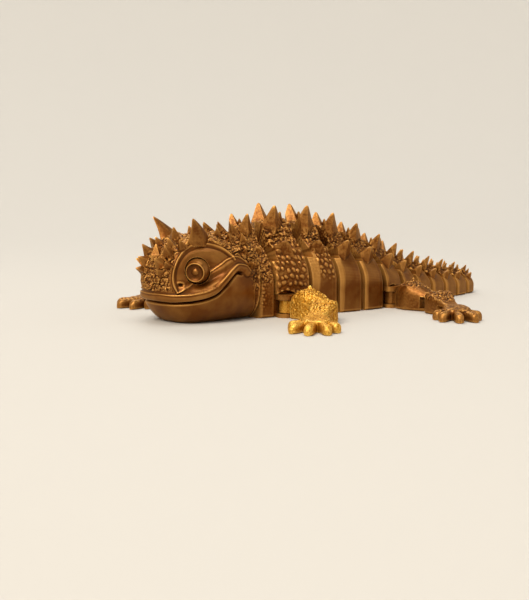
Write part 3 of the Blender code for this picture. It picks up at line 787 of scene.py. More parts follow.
@dataclass(frozen=True)
class MattePaper:
    """Plain seamless paper, matte and pale, under and behind the toy."""

    name: str = "seamless_paper"
    tone: str = "#bbb8b2"
    roughness: float = 0.9
    fibre_mm: float = 1.5

    def build(self) -> bpy.types.Material:
        """Make the paper's shader.

        Returns:
            The new material.
        """
        material = bpy.data.materials.new(self.name)
        material.use_nodes = True
        tree = material.node_tree
        shader = tree.nodes["Principled BSDF"]
        shader.inputs["Base Color"].default_value = linear(self.tone)
        shader.inputs["Roughness"].default_value = self.roughness
        place = add_node(tree, "ShaderNodeTexCoord", {}, {}).outputs["Object"]
        fibre = add_node(
            tree,
            "ShaderNodeTexNoise",
            {"Scale": 1.0 / (self.fibre_mm * MM), "Detail": 2.0},
            {"Vector": place},
        )
        bump = add_node(
            tree,
            "ShaderNodeBump",
            {"Strength": 0.05, "Distance": 0.1 * MM},
            {"Height": fibre.outputs["Fac"]},
        )
        tree.links.new(bump.outputs["Normal"], shader.inputs["Normal"])
        return material


# The frame's pins


def pin_of(body: str) -> Place:
    """Return the plan place of the pin that a body turns on, in millimetres."""
    joint = next(j for j in frame["joints"] if j["child"] == body)
    return joint["pos_m"][0] / MM, joint["pos_m"][1] / MM


def heading_between(start: Place, end: Place) -> float:
    """Return the plan direction from one place to another, in degrees."""
    return math.degrees(math.atan2(end[1] - start[1], end[0] - start[0]))


@dataclass
class PrintedPiece:
    """One printed piece: the CAD node that it stands for, its place and its filament."""

    node: str
    body: str
    pin: Place
    heading: float
    material: bpy.types.Material
    slot: str
    crease_degrees: float = 42.0

    def dress(
        self,
        obj: bpy.types.Object,
        grit: Callable[[Grid], Grid],
        gleam: Callable[[Grid], Grid] | None = None,
    ) -> bpy.types.Object:
        """Name, shade, place and attach a finished mesh.

        Args:
            obj: The piece's mesh about its own pin.
            grit: Gives how rough the print is at places in millimetres, from 0 to 1.
            gleam: Gives the painted highlight added there, a bright band that stands in for the silk's sheen.

        Returns:
            The same object, riding on its body.
        """
        obj.name = f"{self.node}_print"
        obj.data.name = obj.name
        mesh = obj.data
        mesh.materials.clear()
        mesh.materials.append(self.material)
        mesh.shade_smooth()
        mesh.set_sharp_from_angle(angle=math.radians(self.crease_degrees))
        places = np.empty(len(mesh.vertices) * 3)
        mesh.vertices.foreach_get("co", places)
        places = places.reshape(-1, 3) / MM
        # Painted light: painted shade in creases and painted highlights on edges, plus any painted sheen band
        painted_light_level = wear(mesh) + (gleam(places) if gleam else 0.0)
        for name, values in (("grit", grit(places)), ("wear", painted_light_level)):
            layer = mesh.attributes.new(name, "FLOAT", "POINT")
            layer.data.foreach_set("value", np.clip(values, 0.0, 1.0))
        obj.matrix_world = self.matrix()
        bpy.context.view_layer.update()
        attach(obj, self.body)
        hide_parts(self.node)
        self.slot
        LOG.info("%s: %d faces on %s", obj.name, len(mesh.polygons), self.body)
        return obj

    def matrix(self) -> Matrix:
        """Return the matrix that sets the piece at its pin."""
        turn = Matrix.Rotation(math.radians(self.heading), 4, "Z")
        return Matrix.Translation((self.pin[0] * MM, self.pin[1] * MM, 0.0)) @ turn


# Hinges


@dataclass(frozen=True)
class SpineHinge:
    """The hinge between two body pieces: a pin in a rear pocket and a ring in front."""

    pin_radius: float = 1.7
    clearance: float = 0.45
    ring_radius: float = 3.5
    pin_to_rear: float = 3.6
    pocket_half_width: float = 4.4
    pocket_depth: float = 4.3
    pocket_floor: float = 2.4
    headroom: float = 0.6
    tongue_half_width: float = 2.3
    ring_share: float = 0.56
    seam_gap: float = 1.2
    sweep_share: float = 0.19
    opening: float = 1.6

    def sweep(self, s: float) -> float:
        """Return how far a seam runs back from the middle to the flank at a station."""
        return self.sweep_share * at_station(HALF_WIDTHS, s)

    def ring_top(self, s: float) -> float:
        """Return the height of the hinge's ring at a station."""
        return self.ring_share * at_station(CREST_HEIGHTS, s)

    def add_ring(self, body: bpy.types.Object, s: float) -> None:
        """Join the ring and its tongue to a piece's front, about the origin.

        Args:
            body: The piece, about its front pin.
            s: The hinge's distance along the spine.
        """
        low = self.pocket_floor + self.headroom
        high = self.ring_top(s)
        ring = rod(self.ring_radius, (low, high))
        reach = self.pin_to_rear + self.seam_gap + 1.5
        sides = (-self.tongue_half_width, self.tongue_half_width)
        tongue = box((0.5 * self.ring_radius, reach), sides, (low, high))
        combine(ring, [tongue], Bool.JOIN)
        combine(ring, [rod(self.pin_radius + self.clearance, (low - 1.0, high + 1.0))], Bool.CUT)
        combine(body, [ring], Bool.JOIN)

    def add_pocket(self, body: bpy.types.Object, rear_x: float, s: float) -> None:
        """Cut the pocket in a piece's rear and set its pin.

        Args:
            body: The piece, about its front pin.
            rear_x: Where its rear face is.
            s: The hinge's distance along the spine.
        """
        top = self.ring_top(s) + self.headroom
        pin_x = rear_x - self.pin_to_rear
        cutter = box(
            (pin_x - self.pocket_depth, rear_x + PAST),
            (-self.pocket_half_width, self.pocket_half_width),
            (self.pocket_floor, top),
        )
        combine(body, [cutter], Bool.CUT)
        combine(body, [rod(self.pin_radius, (self.pocket_floor - 1.0, top + 1.0), (pin_x, 0.0))], Bool.JOIN)


@dataclass(frozen=True)
class LegHinge:
    """A leg hinge: heights of the ring and of the clevis round it, and the shared radii."""

    ring_low: float
    ring_high: float
    top: float
    lug_radius: float = 4.7
    ring_radius: float = 3.2
    pin_radius: float = 1.5
    play: float = 0.4
    tongue_half_width: float = 2.2

    @property
    def slot(self) -> Place:
        """Return the bottom and top of the clevis's slot."""
        return self.ring_low - self.play, self.ring_high + self.play

    @property
    def reach(self) -> float:
        """Return how far the slot reaches behind the pin."""
        return self.ring_radius + 0.5

    def add_ring(self, body: bpy.types.Object, tongue_end: float) -> None:
        """Join the ring and its tongue to a limb's near end, about the origin.

        Args:
            body: The limb, about its near pin.
            tongue_end: Where the tongue ends inside the limb.
        """
        heights = (self.ring_low, self.ring_high)
        ring = rod(self.ring_radius, heights)
        sides = (-self.tongue_half_width, self.tongue_half_width)
        tongue = box((0.5 * self.ring_radius, tongue_end), sides, heights)
        combine(ring, [tongue], Bool.JOIN)
        hole = rod(self.pin_radius + self.play, (self.ring_low - 1.0, self.ring_high + 1.0))
        combine(ring, [hole], Bool.CUT)
        combine(body, [ring], Bool.JOIN)

    def add_clevis(self, body: bpy.types.Object, at: Place, slot: bpy.types.Object) -> None:
        """Cut the slot between the two lugs and set the pin across it.

        Args:
            body: The piece that holds the pin.
            at: The pin's place.
            slot: The slot's cutter, which is used up.
        """
        low, high = self.slot
        combine(body, [slot], Bool.CUT)
        combine(body, [rod(self.pin_radius, (low - 0.8, high + 0.8), at)], Bool.JOIN)


SPINE_HINGE = SpineHinge()
SHOULDER = LegHinge(2.2, 8.0, 11.0)
ELBOW = LegHinge(2.0, 6.8, 9.4)
WRIST = LegHinge(1.7, 4.4, 6.6)


# Body pieces


def at_station(values: Sequence[float], s: float) -> float:
    """Read a driving size at a distance along the spine."""
    return float(np.interp(s, SPINE_STATIONS, values))


@dataclass(frozen=True)
class Pebbling:
    """Where a body piece is pebbled: from a share of its height up, and up to a share of its length.

    The pebbles' height, and their pitches along and around the piece, are in millimetres.
    """

    low: float
    length: float
    height: float = 0.5
    pitch: Place = (2.3, 2.9)


@dataclass(frozen=True)
class Crest:
    """How a body piece's top is shaped.

    The slot is how far its front edge stands back over the hinge, the blocks are the height of its
    rough lumps, which begin at a share of its height, and the ledge is the height of the shelf
    under them. The lean is how far its thorns' tips hang back, as a share of their height. The lip
    is the smooth slope behind the front edge: its lengths at the floor and at the shelf, and its
    depth.
    """

    slot: float = 1.8
    blocks: float = 0.9
    lean: float = 0.04
    has_blunt_flanks: bool = False
    rough_from: float = 0.70
    ledge: float = 0.0
    lip_length: Place = (0.8, 1.0)
    lip_depth: float = 0.55


@dataclass
class BodyPiece:
    """One spiny piece of the row: a dome with thorns, overlapped by the piece in front of it."""

    name: str
    pitch: float
    start: float
    pin: Place
    heading: float
    pebbling: Pebbling
    crest: Crest
    is_last: bool = False
    leg_along: float | None = None
    socket_radius: float = 0.0
    shift: float = 0.0
    wall_share: float = 0.36
    roof_share: float = 0.82
    roof_half_share: float = 0.40
    slot_share: float = 0.61

    @property
    def front(self) -> float:
        """Return the distance from the front pin to the piece's front face."""
        return SPINE_HINGE.pin_to_rear + SPINE_HINGE.seam_gap

    @property
    def rear(self) -> float:
        """Return the distance from the front pin to the piece's rear face."""
        return self.pitch if self.is_last else self.pitch + SPINE_HINGE.pin_to_rear

    def outline(self, width: float, height: float, count: int) -> Grid:
        """Draw the right half of the section, from the keel to the crest.

        Args:
            width: Half the section's width.
            height: Its height.
            count: How many points to return.

        Returns:
            Points across and up, evenly spaced.
        """
        wall = self.wall_share * height
        roof = (self.roof_half_share * width, self.roof_share * height)
        points = np.array(((0.0, 0.0), (width - 1.0, 0.0), (width, 1.0), (width, wall)))
        flank = bezier((width, wall), (width, roof[1] * 0.74), roof)
        crest = bezier(roof, (0.28 * width, height), (0.0, height))
        return resample(np.concatenate((points, flank, crest)), count)

    def shell(self) -> Grid:
        """Lay out the piece's right half, before its relief.

        Returns:
            Its points, a row for each section.
        """
        rows = max(int((self.rear - self.front) / SURFACE_STEP), 12)
        middle = self.start + 0.5 * self.pitch
        girth = at_station(HALF_WIDTHS, middle) * 1.6 + at_station(CREST_HEIGHTS, middle)
        columns = int(girth / SURFACE_STEP)
        front_sweep = SPINE_HINGE.sweep(self.start)
        rear_sweep = 0.0 if self.is_last else SPINE_HINGE.sweep(self.start + self.pitch) - SPINE_HINGE.opening
        grid = np.empty((rows, columns, 3))
        for row, share in enumerate(np.linspace(0.0, 1.0, rows)):
            x = self.front + share * (self.rear - self.front)
            width = at_station(HALF_WIDTHS, self.start + x)
            height = at_station(CREST_HEIGHTS, self.start + x)
            inset = 0.35 * float(smooth((x - self.rear + 0.8) / 0.8))
            if self.is_last:
                inset += 0.55 * width * max((x - self.rear + 5.0) / 5.0, 0.0) ** 2.2
            full = self.outline(width - inset, height - inset, columns)
            depth = inset + self.crest.lip_depth
            tucked = self.outline(width - depth, height - depth, columns)
            length = np.interp(full[:, 1] / height, (0.0, 0.6), self.crest.lip_length)
            out = np.clip((x - self.front) / length, 0.0, 1.0)[:, None]
            sweep = front_sweep + share * (rear_sweep - front_sweep)
            grid[row, :, 1:] = tucked + (full - tucked) * out
            grid[row, :, 0] = x + sweep / width * grid[row, :, 1]
        return grid

    def pebble_mask(self, points: Grid) -> Grid:
        """Say how strongly the piece is pebbled.

        Args:
            points: Places in millimetres, with X, Y and Z last.

        Returns:
            One value from 0 to 1 for each place.
        """
        length = self.rear - self.front
        share = (points[..., 0] - self.shift - self.front - 0.15 * np.abs(points[..., 1])) / length
        height = points[..., 2] / at_station(CREST_HEIGHTS, self.start + 0.5 * self.pitch)
        mask = smooth((height - self.pebbling.low) / 0.12)
        return mask * (1.0 - smooth((share - self.pebbling.length) / 0.25))

    def relief(self, grid: Grid) -> Grid:
        """Raise the pebbles, the rough blocks and the shelf out of the plain shell.

        Args:
            grid: The right half's plain points in millimetres.

        Returns:
            One lift in millimetres for each point.
        """
        steps = np.linalg.norm(np.diff(grid, axis=1), axis=2)
        around = np.concatenate((np.zeros((len(grid), 1)), np.cumsum(steps, axis=1)), axis=1)
        place = grid + np.array((self.start, 0.0, 0.0))
        along = place[..., 0] - 0.25 * place[..., 1] + 0.6 * value_noise(place, 3.4, 25)
        around += 0.6 * value_noise(place, 3.4, 26)
        mask = self.pebble_mask(grid)
        lift = self.pebbling.height * mask * pebbles(along, around, self.pebbling.pitch, 11)
        lift += 0.07 * value_noise(place, 5.0, 21) + 0.07 * mask * value_noise(place, 1.2, 22)
        blocks = 0.75 * cells(place * np.array((1.0, 1.0, 1.3)), 3.2, 23) + 0.4 * cells(place, 1.5, 24)
        lift += self.crest.blocks * self.roof_mask(grid) * blocks
        shelf = grid[..., 2] / at_station(CREST_HEIGHTS, self.start + 0.5 * self.pitch) - 0.70
        lift += self.crest.ledge * smooth(1.0 - np.abs(shelf) / 0.045)
        lip = grid[..., 0] - grid[:1, :, 0] - self.crest.lip_length[1] + 0.8
        edge = np.minimum(lip, grid[-1:, :, 0] - grid[..., 0])
        return lift * smooth(edge / 0.8) * smooth((grid[..., 2] - 0.6) / 1.5)

    def roof_mask(self, points: Grid) -> Grid:
        """Return 1 on the piece's rough top and 0 on its flanks."""
        height = points[..., 2] / at_station(CREST_HEIGHTS, self.start + 0.5 * self.pitch)
        return smooth((height - self.crest.rough_from) / 0.08)

    def thorns(self) -> list[Spike]:
        """Set the piece's thorns in paired rows on its crest and flanks.

        Returns:
            The thorns, right and left in turn.
        """
        is_tail = self.name.startswith("tail")
        draws = np.random.default_rng(int(self.start) + 3)
        thorns = []
        # Shares of the piece's length at which its pairs of thorns stand
        rows = (0.40,)
        if is_tail:
            rows = (0.24, 0.56 if self.is_last else 0.70)
        for row, share in enumerate(rows):
            x = 5.0 + share * (self.pitch - 1.6)
            width = at_station(HALF_WIDTHS, self.start + x)
            height = at_station(CREST_HEIGHTS, self.start + x)
            tall = at_station(SPIKE_HEIGHTS, self.start + x) * (1.0 if row == 0 else 0.72)
            roof = self.roof_half_share * width
            for side in (1, -1):
                lean = self.crest.lean + draws.uniform(-0.05, 0.05)
                top = (x + self.crest.slot * 0.6 - lean * tall * 0.5, side * roof * 0.62, height - 1.4)
                stretch = 1.3 + 0.55 * self.crest.lean
                grown = (1.0 + 0.3 * self.crest.lean) * draws.uniform(0.87, 1.02)
                size = (tall * grown, tall * 0.41, lean, stretch)
                thorns.append(Spike(top, (0.0, side * 0.28, 1.0), *size, swell=1.0 + self.crest.lean))
                if row == 0:
                    along = x + 1.4 + 0.7 * self.crest.slot
                    root = (along, side * (roof + width * 0.22), height * (self.roof_share - 0.13))
                    wide = min(tall * 0.54, self.pitch * 0.27)
                    thorns.append(self.flank_thorn(root, side, tall * 0.78, wide))
            if is_tail:
                continue
            rear = x + self.pitch * 0.30
            for side in (1, -1):
                mid = (rear, side * roof * 0.45, height - 1.0)
                thorns.append(Spike(mid, (0.0, side * 0.2, 1.0), tall * 0.55, tall * 0.26, corners=3))
        return thorns

    def flank_thorn(self, root: Triple, side: float, height: float, radius: float) -> Spike:
        """Shape a flank thorn: a blunt block in front, a broad flat fin further back.

        Args:
            root: Where it stands.
            side: 1 or -1, the flank that it is on.
            height: Its height before it is grown.
            radius: Half its root's width.

        Returns:
            The thorn.
        """
        if self.crest.has_blunt_flanks:
            aim = (0.0, side, 1.5)
            return Spike(root, aim, height * 0.72, radius * 1.2, 0.0, 1.3, 3, 0.30, 1.0, 60.0)
        lean = 0.22 + 0.5 * self.crest.lean
        grown = 1.0 if self.name.startswith("tail") else 1.12
        tall = height * grown
        back = (root[0] + 4.0 * (grown - 1.0) - lean * tall * 0.5, root[1], root[2])
        return Spike(back, (0.0, side * 0.78, 1.3), tall, radius * grown, lean, 1.25, swell=1.35)

    def add_slot(self, body: bpy.types.Object) -> None:
        """Cut the top of the piece's front edge back, so that a slot opens over the hinge.

        Args:
            body: The piece, about its front pin.
        """
        reach = at_station(HALF_WIDTHS, self.start) + 6.0
        swept = SPINE_HINGE.sweep_share * reach
        rear = self.front + self.crest.slot
        plan = (
            (self.front - 2.0, -reach),
            (rear + swept, -reach),
            (rear, 0.0),
            (rear + swept, reach),
            (self.front - 2.0, reach),
        )
        low = self.slot_share * at_station(CREST_HEIGHTS, self.start)
        combine(body, [prism(plan, (low, low + 60.0))], Bool.CUT)

    def add_leg_sockets(self, body: bpy.types.Object) -> None:
        """Cut the arched recess in each flank and set the clevis of the leg in it.

        Args:
            body: The piece, about its front pin.
        """
        along = self.leg_along
        width = at_station(HALF_WIDTHS, self.start + along) - 0.4
        for side in (1, -1):
            arch = rod(self.socket_radius, (-4.0, 4.0))
            arch.data.transform(Matrix.Rotation(math.radians(90), 4, "X"))
            arch.data.transform(Matrix.Translation(Vector((along, side * (width + 1.6), 5.5)) * MM))
            combine(body, [arch], Bool.CUT)
            centre = (along, side * width)
            lug = rod(SHOULDER.lug_radius, (0.0, SHOULDER.top), centre)
            stem = box(
                (along - SHOULDER.lug_radius, along + SHOULDER.lug_radius),
                sorted((side * width, side * (width - 6.0))),
                (0.0, SHOULDER.top),
            )
            combine(body, [lug, stem], Bool.JOIN)
            slot = box(
                (along - 5.6, along + 5.6),
                sorted((side * (width - SHOULDER.reach), side * (width + PAST))),
                SHOULDER.slot,
            )
            SHOULDER.add_clevis(body, centre, slot)

    def grit(self, points: Grid) -> Grid:
        """Say how rough the piece's print is: little on its thorns.

        Args:
            points: Places in millimetres, with X, Y and Z last.

        Returns:
            One value from 0 to 1 for each place.
        """
        station = points[..., 0] - self.shift + self.start
        width = np.interp(station, SPINE_STATIONS, HALF_WIDTHS)
        height = np.interp(station, SPINE_STATIONS, CREST_HEIGHTS)
        # The section keeps nearly the same form at any size, so one of this size stands for all
        size = (20.0, 30.0)
        y, z = np.moveaxis(self.outline(*size, 120) / size, -1, 0)
        beside = np.abs(points[..., 1]) - width * np.interp(points[..., 2] / height, z, y)
        thorn = np.maximum(smooth((points[..., 2] - height + 0.2) / 1.6), smooth((beside - 1.0) / 1.2))
        return 0.2 * self.pebble_mask(points) + 0.75 * self.roof_mask(points) * (1.0 - 0.95 * thorn)

    def gleam(self, points: Grid) -> Grid:
        """Paint a highlight on the smooth slope behind the front edge, where the silk's sheen catches the
        light.

        Args:
            points: Places in millimetres, with X, Y and Z last.

        Returns:
            The painted highlight added to each place's brightness.
        """
        width = at_station(HALF_WIDTHS, self.start)
        height = points[..., 2] / at_station(CREST_HEIGHTS, self.start)
        edge = self.front + SPINE_HINGE.sweep(self.start) * np.abs(points[..., 1]) / width
        behind = points[..., 0] - self.shift - edge
        length = np.interp(height, (0.0, 0.6), self.crest.lip_length)
        band = smooth((behind + 0.4) / 0.3) * (1.0 - smooth((behind - length + 0.8) / 0.5))
        return 0.19 * band * (1.0 - smooth((height - 0.64) / 0.06))

    def build(self, material: bpy.types.Material, slot: str) -> bpy.types.Object:
        """Build the piece and set it in the frame.

        Args:
            material: The filament.
            slot: The CAD's material slot.

        Returns:
            The finished object.
        """
        grid = self.shell()
        grid += surface_normals(grid) * self.relief(grid)[..., None]
        body = skin_half(self.name, grid)
        combine(body, [thorn.build() for thorn in self.thorns()], Bool.JOIN)
        self.add_slot(body)
        if not self.is_last:
            SPINE_HINGE.add_pocket(body, self.rear, self.start + self.pitch)
        SPINE_HINGE.add_ring(body, self.start)
        if self.leg_along:
            self.add_leg_sockets(body)
        body.data.transform(Matrix.Translation((self.shift * MM, 0.0, 0.0)))
        piece = PrintedPiece(self.name, self.name, self.pin, self.heading, material, slot)
        return piece.dress(body, self.grit, self.gleam)


# The head


@dataclass(frozen=True)
class Socket:
    """An eye socket in side view: a chord, tilted up to the rear, with an arch over it."""

    middle: Place = (-28.2, 22.0)
    tilt: float = 27.0
    half_length: float = 15.2
    bulge: float = 13.8
    sag: float = 4.4

    def place(self, along: Grid, above: Grid) -> tuple[Grid, Grid]:
        """Turn places of the socket into side-view places.

        Args:
            along: Distances along the chord from its middle.
            above: Distances above it.

        Returns:
            The places' X and Z.
        """
        turn = math.radians(self.tilt)
        x = self.middle[0] + along * math.cos(turn) - above * math.sin(turn)
        z = self.middle[1] + along * math.sin(turn) + above * math.cos(turn)
        return x, z

    def above(self, x: Grid, z: Grid) -> Grid:
        """Return the height of side-view places over the chord."""
        turn = math.radians(self.tilt)
        return -(x - self.middle[0]) * math.sin(turn) + (z - self.middle[1]) * math.cos(turn)

    def inside(self, x: Grid, z: Grid) -> Grid:
        """Say how deep in the socket places are.

        Args:
            x: The places' X.
            z: The places' Z.

        Returns:
            1 at the socket's middle, 0 on its rim and less than 0 outside it.
        """
        turn = math.radians(self.tilt)
        along = (x - self.middle[0]) * math.cos(turn) + (z - self.middle[1]) * math.sin(turn)
        above = self.above(x, z)
        reach = np.where(above > 0.0, self.bulge, self.sag)
        return 1.0 - np.hypot(along / self.half_length, above / reach)


@dataclass
class Head:
    """The head: a broad wedge with a rolled lip, hollow eye sockets, thorns and brow horns.

    Side-view places are given from the jaw's rear edge, with the head's length along X.
    """

    pin: Place
    rear_shift: float = 5.0
    heading: float = 9.5
    squareness: float = 2.0 / 2.7
    middle_share: float = 0.47
    rows: int = 230
    columns: int = 320
    plan: tuple = (-47.4, -46.5, -45.6, -43.5, -40.0, -36.0, -30.0, -24.0, -16.0, -8.0, 0.0, 6.0)
    widths: tuple = (0.2, 5.2, 8.4, 12.4, 15.8, 18.4, 20.8, 22.0, 22.6, 21.8, 20.4, 19.4)
    tops: tuple = (19.0, 24.6, 27.6, 30.8, 33.6, 35.8, 37.8, 38.8, 39.6, 40.2, 39.6, 38.6)
    bottoms: tuple = (18.4, 13.2, 10.2, 6.4, 2.4, -0.6, -2.0, -2.0, -2.0, -2.0, -2.0, -2.0)
    socket: Socket = field(default_factory=Socket)
    eye_place: Triple = (-31.6, 15.2, 24.2)
    eye_radius: float = 5.6
    eye_aim: Triple = (-0.80, 0.62, -0.12)
    seat_gap: float = 0.65
    line_step: float = 0.18
    snout_from: float = -45.0
    horn_place: Triple = (-26.8, 10.9, 36.6)
    horn_levels: tuple = (-1.4, 0.0, 2.5, 5.0, 7.2, 9.4, 10.8, 11.3)
    horn_radii: tuple = (6.0, 5.8, 4.95, 3.85, 2.75, 1.6, 0.75, 0.25)
    horn_leans: tuple = (-0.2, -0.5, -1.3, -2.6, -4.1, -5.8, -7.0, -7.4)
    horn_sides: int = 36
    eye_grit: float = 0.1
    horn_grit: float = 0.12
    mouth: tuple = (
        (-45.2, 9.8),
        (-43.0, 9.8),
        (-38.8, 10.2),
        (-32.0, 11.2),
        (-26.2, 13.0),
        (-21.2, 17.0),
        (-16.7, 21.3),
        (-14.2, 22.9),
        (-12.0, 22.4),
    )
    lip: tuple = (
        (-46.0, 12.4),
        (-43.0, 12.2),
        (-38.8, 12.4),
        (-31.4, 13.6),
        (-25.4, 15.6),
        (-20.6, 19.8),
        (-16.2, 23.7),
        (-13.0, 25.2),
        (-10.2, 24.6),
        (-8.8, 22.6),
    )
    lip_edge: tuple = (
        (-46.0, 14.2),
        (-43.0, 13.9),
        (-38.8, 14.0),
        (-31.8, 15.1),
        (-26.4, 17.0),
        (-21.6, 21.0),
        (-17.0, 24.9),
        (-13.2, 26.7),
        (-9.4, 25.8),
        (-7.4, 23.2),
    )
    cheek_fold: tuple = (
        (-26.6, 24.4),
        (-22.0, 27.2),
        (-17.6, 29.6),
        (-13.4, 30.2),
        (-9.6, 28.2),
        (-7.0, 24.8),
        (-5.6, 20.0),
    )
    # Place along the head, angle from the keel, height and half width of each thorn's root
    thorns: tuple = (
        (-45.0, 150, 3.2, 1.8),
        (-45.6, 118, 2.6, 1.6),
        (-43.0, 180, 3.2, 1.7),
        (-41.5, 154, 3.8, 2.0),
        (-43.5, 128, 2.8, 1.6),
        (-38.0, 170, 3.4, 1.9),
        (-36.5, 151, 3.6, 1.9),
        (-33.0, 180, 4.4, 2.2),
        (-27.0, 168, 3.2, 1.9),
        (-21.0, 180, 3.6, 2.0),
        (-16.5, 160, 4.2, 2.2),
        (-12.0, 146, 3.6, 2.0),
        (-10.5, 172, 4.2, 2.1),
        (-6.0, 160, 5.2, 2.4),
        (-6.0, 140, 4.6, 2.2),
        (-7.5, 121, 3.2, 1.9),
        (-5.0, 104, 3.6, 2.0),
        (-5.6, 180, 4.8, 2.2),
    )

    def section(self, x: Grid) -> tuple[Grid, Grid, Grid]:
        """Read the plain head's section.

        Args:
            x: Places along the head.

        Returns:
            The half width, the top and the bottom at each.
        """
        knots = np.sqrt(np.array(self.plan) - self.plan[0])
        at = np.sqrt(np.clip(np.asarray(x, float) - self.plan[0], 0.0, None))
        width, top, bottom = (flowing(at, knots, v) for v in (self.widths, self.tops, self.bottoms))
        return width, top, bottom

    def base(self, x: Grid, turn: Grid) -> Grid:
        """Lay out the plain head.

        Args:
            x: Places along the head.
            turn: Angles from its keel, 0, to its crown, half a turn.

        Returns:
            The points, with X, Y and Z last.
        """
        width, top, bottom = self.section(x)
        middle = bottom + self.middle_share * (top - bottom)
        cosine = -np.cos(turn)
        reach = np.where(cosine >= 0.0, top - middle, bottom - middle)
        y = width * np.clip(np.sin(turn), 0.0, 1.0) ** self.squareness
        z = middle + reach * np.abs(cosine) ** self.squareness
        return np.stack(np.broadcast_arrays(x, y, z), axis=-1)

    def half_width_at(self, x: Grid, z: Grid) -> Grid:
        """Measure the plain head's half width at side-view places.

        Args:
            x: The places' X.
            z: The places' Z.

        Returns:
            One half width for each, 0 outside the head.
        """
        width, top, bottom = self.section(x)
        middle = bottom + self.middle_share * (top - bottom)
        span = np.where(z >= middle, top - middle, middle - bottom)
        cosine = np.clip(np.abs(z - middle) / span, 0.0, 1.0) ** (1.0 / self.squareness)
        return width * np.sqrt(1.0 - cosine**2) ** self.squareness

    def on_side(self, line: Sequence[Place], is_across: bool = False, count: int = 160) -> Grid:
        """Lay a side-view line on the plain head's right side.

        Args:
            line: The line's knots.
            is_across: Carry its front end on, level, to the middle of the snout.
            count: How many places to read the knots' curve at.

        Returns:
            Evenly and finely spaced points on the head.
        """
        knots = np.array(line)
        steps = np.linalg.norm(np.diff(knots, axis=0), axis=1)
        reach = np.concatenate(([0.0], np.cumsum(steps)))
        at = np.linspace(0.0, reach[-1], count)
        x = flowing(at, reach, knots[:, 0])
        z = flowing(at, reach, knots[:, 1])
        if is_across:
            ahead = np.linspace(self.plan[0] + 0.02, x[0], 400)
            level = np.full_like(ahead, z[0])
            is_on = self.half_width_at(ahead, level) > 0.0
            first = max(int(np.argmax(is_on)) - 1, 0)
            x = np.concatenate((ahead[first:], x))
            z = np.concatenate((level[first:], z))
        points = np.stack((x, self.half_width_at(x, z), z), axis=1)
        length = np.linalg.norm(np.diff(points, axis=0), axis=1).sum()
        return resample(points, int(length / self.line_step) + 2)

    def fold_height(self, x: Grid) -> Grid:
        """Return the height of the smooth face's upper edge behind the socket."""
        return np.interp(x, [p[0] for p in self.cheek_fold], [p[1] for p in self.cheek_fold])

    def rough(self, points: Grid) -> Grid:
        """Say how rough the head is: on its crown, snout, temples and frill.

        Args:
            points: Places in millimetres, with X, Y and Z last.

        Returns:
            One value from 0 to 1 for each place.
        """
        x, _, z = np.moveaxis(points, -1, 0)
        inside = self.socket.inside(x, z)
        lip = np.interp(x, [p[0] for p in self.lip_edge], [p[1] for p in self.lip_edge])
        above_lip = smooth((z - lip - 0.8) / 1.2)
        band = smooth((z - self.fold_height(x) - 0.3) / 1.0)
        band = np.where(x < self.cheek_fold[0][0], 1.0, band)
        nostril = smooth(1.6 - np.hypot(x + 39.5, z - 18.5) / 4.5)
        crown = above_lip * band * smooth((-inside - 0.045) / 0.05) * (1.0 - nostril)
        return np.maximum(crown, self.frill(points) * (0.15 + 0.65 * smooth((z - 11.0) / 6.0)))

    def ridge(self, grid: Grid, line: Sequence[Place], width: float) -> Grid:
        """Return a narrow bell-shaped ridge, 1 high, along a side-view line on the cheek."""
        is_across = line[0][0] < self.snout_from
        return np.exp(-((distance_to_line(grid, self.on_side(line, is_across)) / width) ** 2))

    def face_relief(self, grid: Grid) -> Grid:
        """Raise the lips, the cheek's fold and the nostril, and sink the mouth.

        Args:
            grid: The right half's plain points in millimetres.

        Returns:
            One lift in millimetres for each point.
        """
        x, y, z = np.moveaxis(grid, -1, 0)
        lip = distance_to_line(grid, self.on_side(self.lip, is_across=True))
        lift = 1.25 * np.clip(1.0 - (lip / 2.0) ** 2, 0.0, 1.0) ** 0.7
        lift += 0.5 * self.ridge(grid, self.lip_edge, 0.40)
        lift -= 1.7 * self.ridge(grid, self.mouth, 0.60)
        lift += 0.38 * self.ridge(grid, self.cheek_fold, 0.42)
        lift += 0.6 * self.ridge(grid, ((-41.8, 14.8), (-38.6, 17.0), (-36.0, 18.9)), 0.36)
        side = smooth((y - 6.0) / 4.0)
        nostril = np.hypot((x + 40.9) / 1.3, z - 18.4)
        lift += side * 0.3 * np.exp(-(((nostril - 1.1) / 0.6) ** 2))
        lift -= side * 1.0 * np.exp(-((nostril / 0.62) ** 2))
        lift += 1.1 * np.exp(-(((x + 13.0) / 7.0) ** 2) - ((z - 14.0) / 6.5) ** 2)
        return lift

    def socket_relief(self, grid: Grid) -> Grid:
        """Sink the eye socket and raise the thin rim over it.

        Args:
            grid: The right half's plain points in millimetres.

        Returns:
            One lift in millimetres for each point.
        """
        x, y, z = np.moveaxis(grid, -1, 0)
        angle = np.linspace(0.0, math.pi, 60)
        arch = self.socket.place(-np.cos(angle) * self.socket.half_length, np.sin(angle) * self.socket.bulge)
        lift = 0.65 * self.ridge(grid, np.stack(arch, axis=1), 0.46)
        side = smooth((y - 6.0) / 4.0)
        inside = self.socket.inside(x, z)
        step = 0.9 * smooth(inside / 0.06) * smooth(self.socket.above(x, z) / 2.5)
        from_eye = np.hypot(x - self.eye_place[0], z - self.eye_place[2])
        bowl = smooth(inside / 0.5) * (1.2 + 2.6 * smooth(1.0 - (from_eye - 4.5) / 7.0))
        return lift - side * (step + bowl)

    def frill(self, points: Grid) -> Grid:
        """Return 1 behind the jaw's rear edge, where the neck's folds begin, and 0 on the jaw."""
        x, _, z = np.moveaxis(points, -1, 0)
        return smooth((x + 7.0 - (24.0 - z) * 0.20) / 0.9) * smooth((27.0 - z) / 3.0)

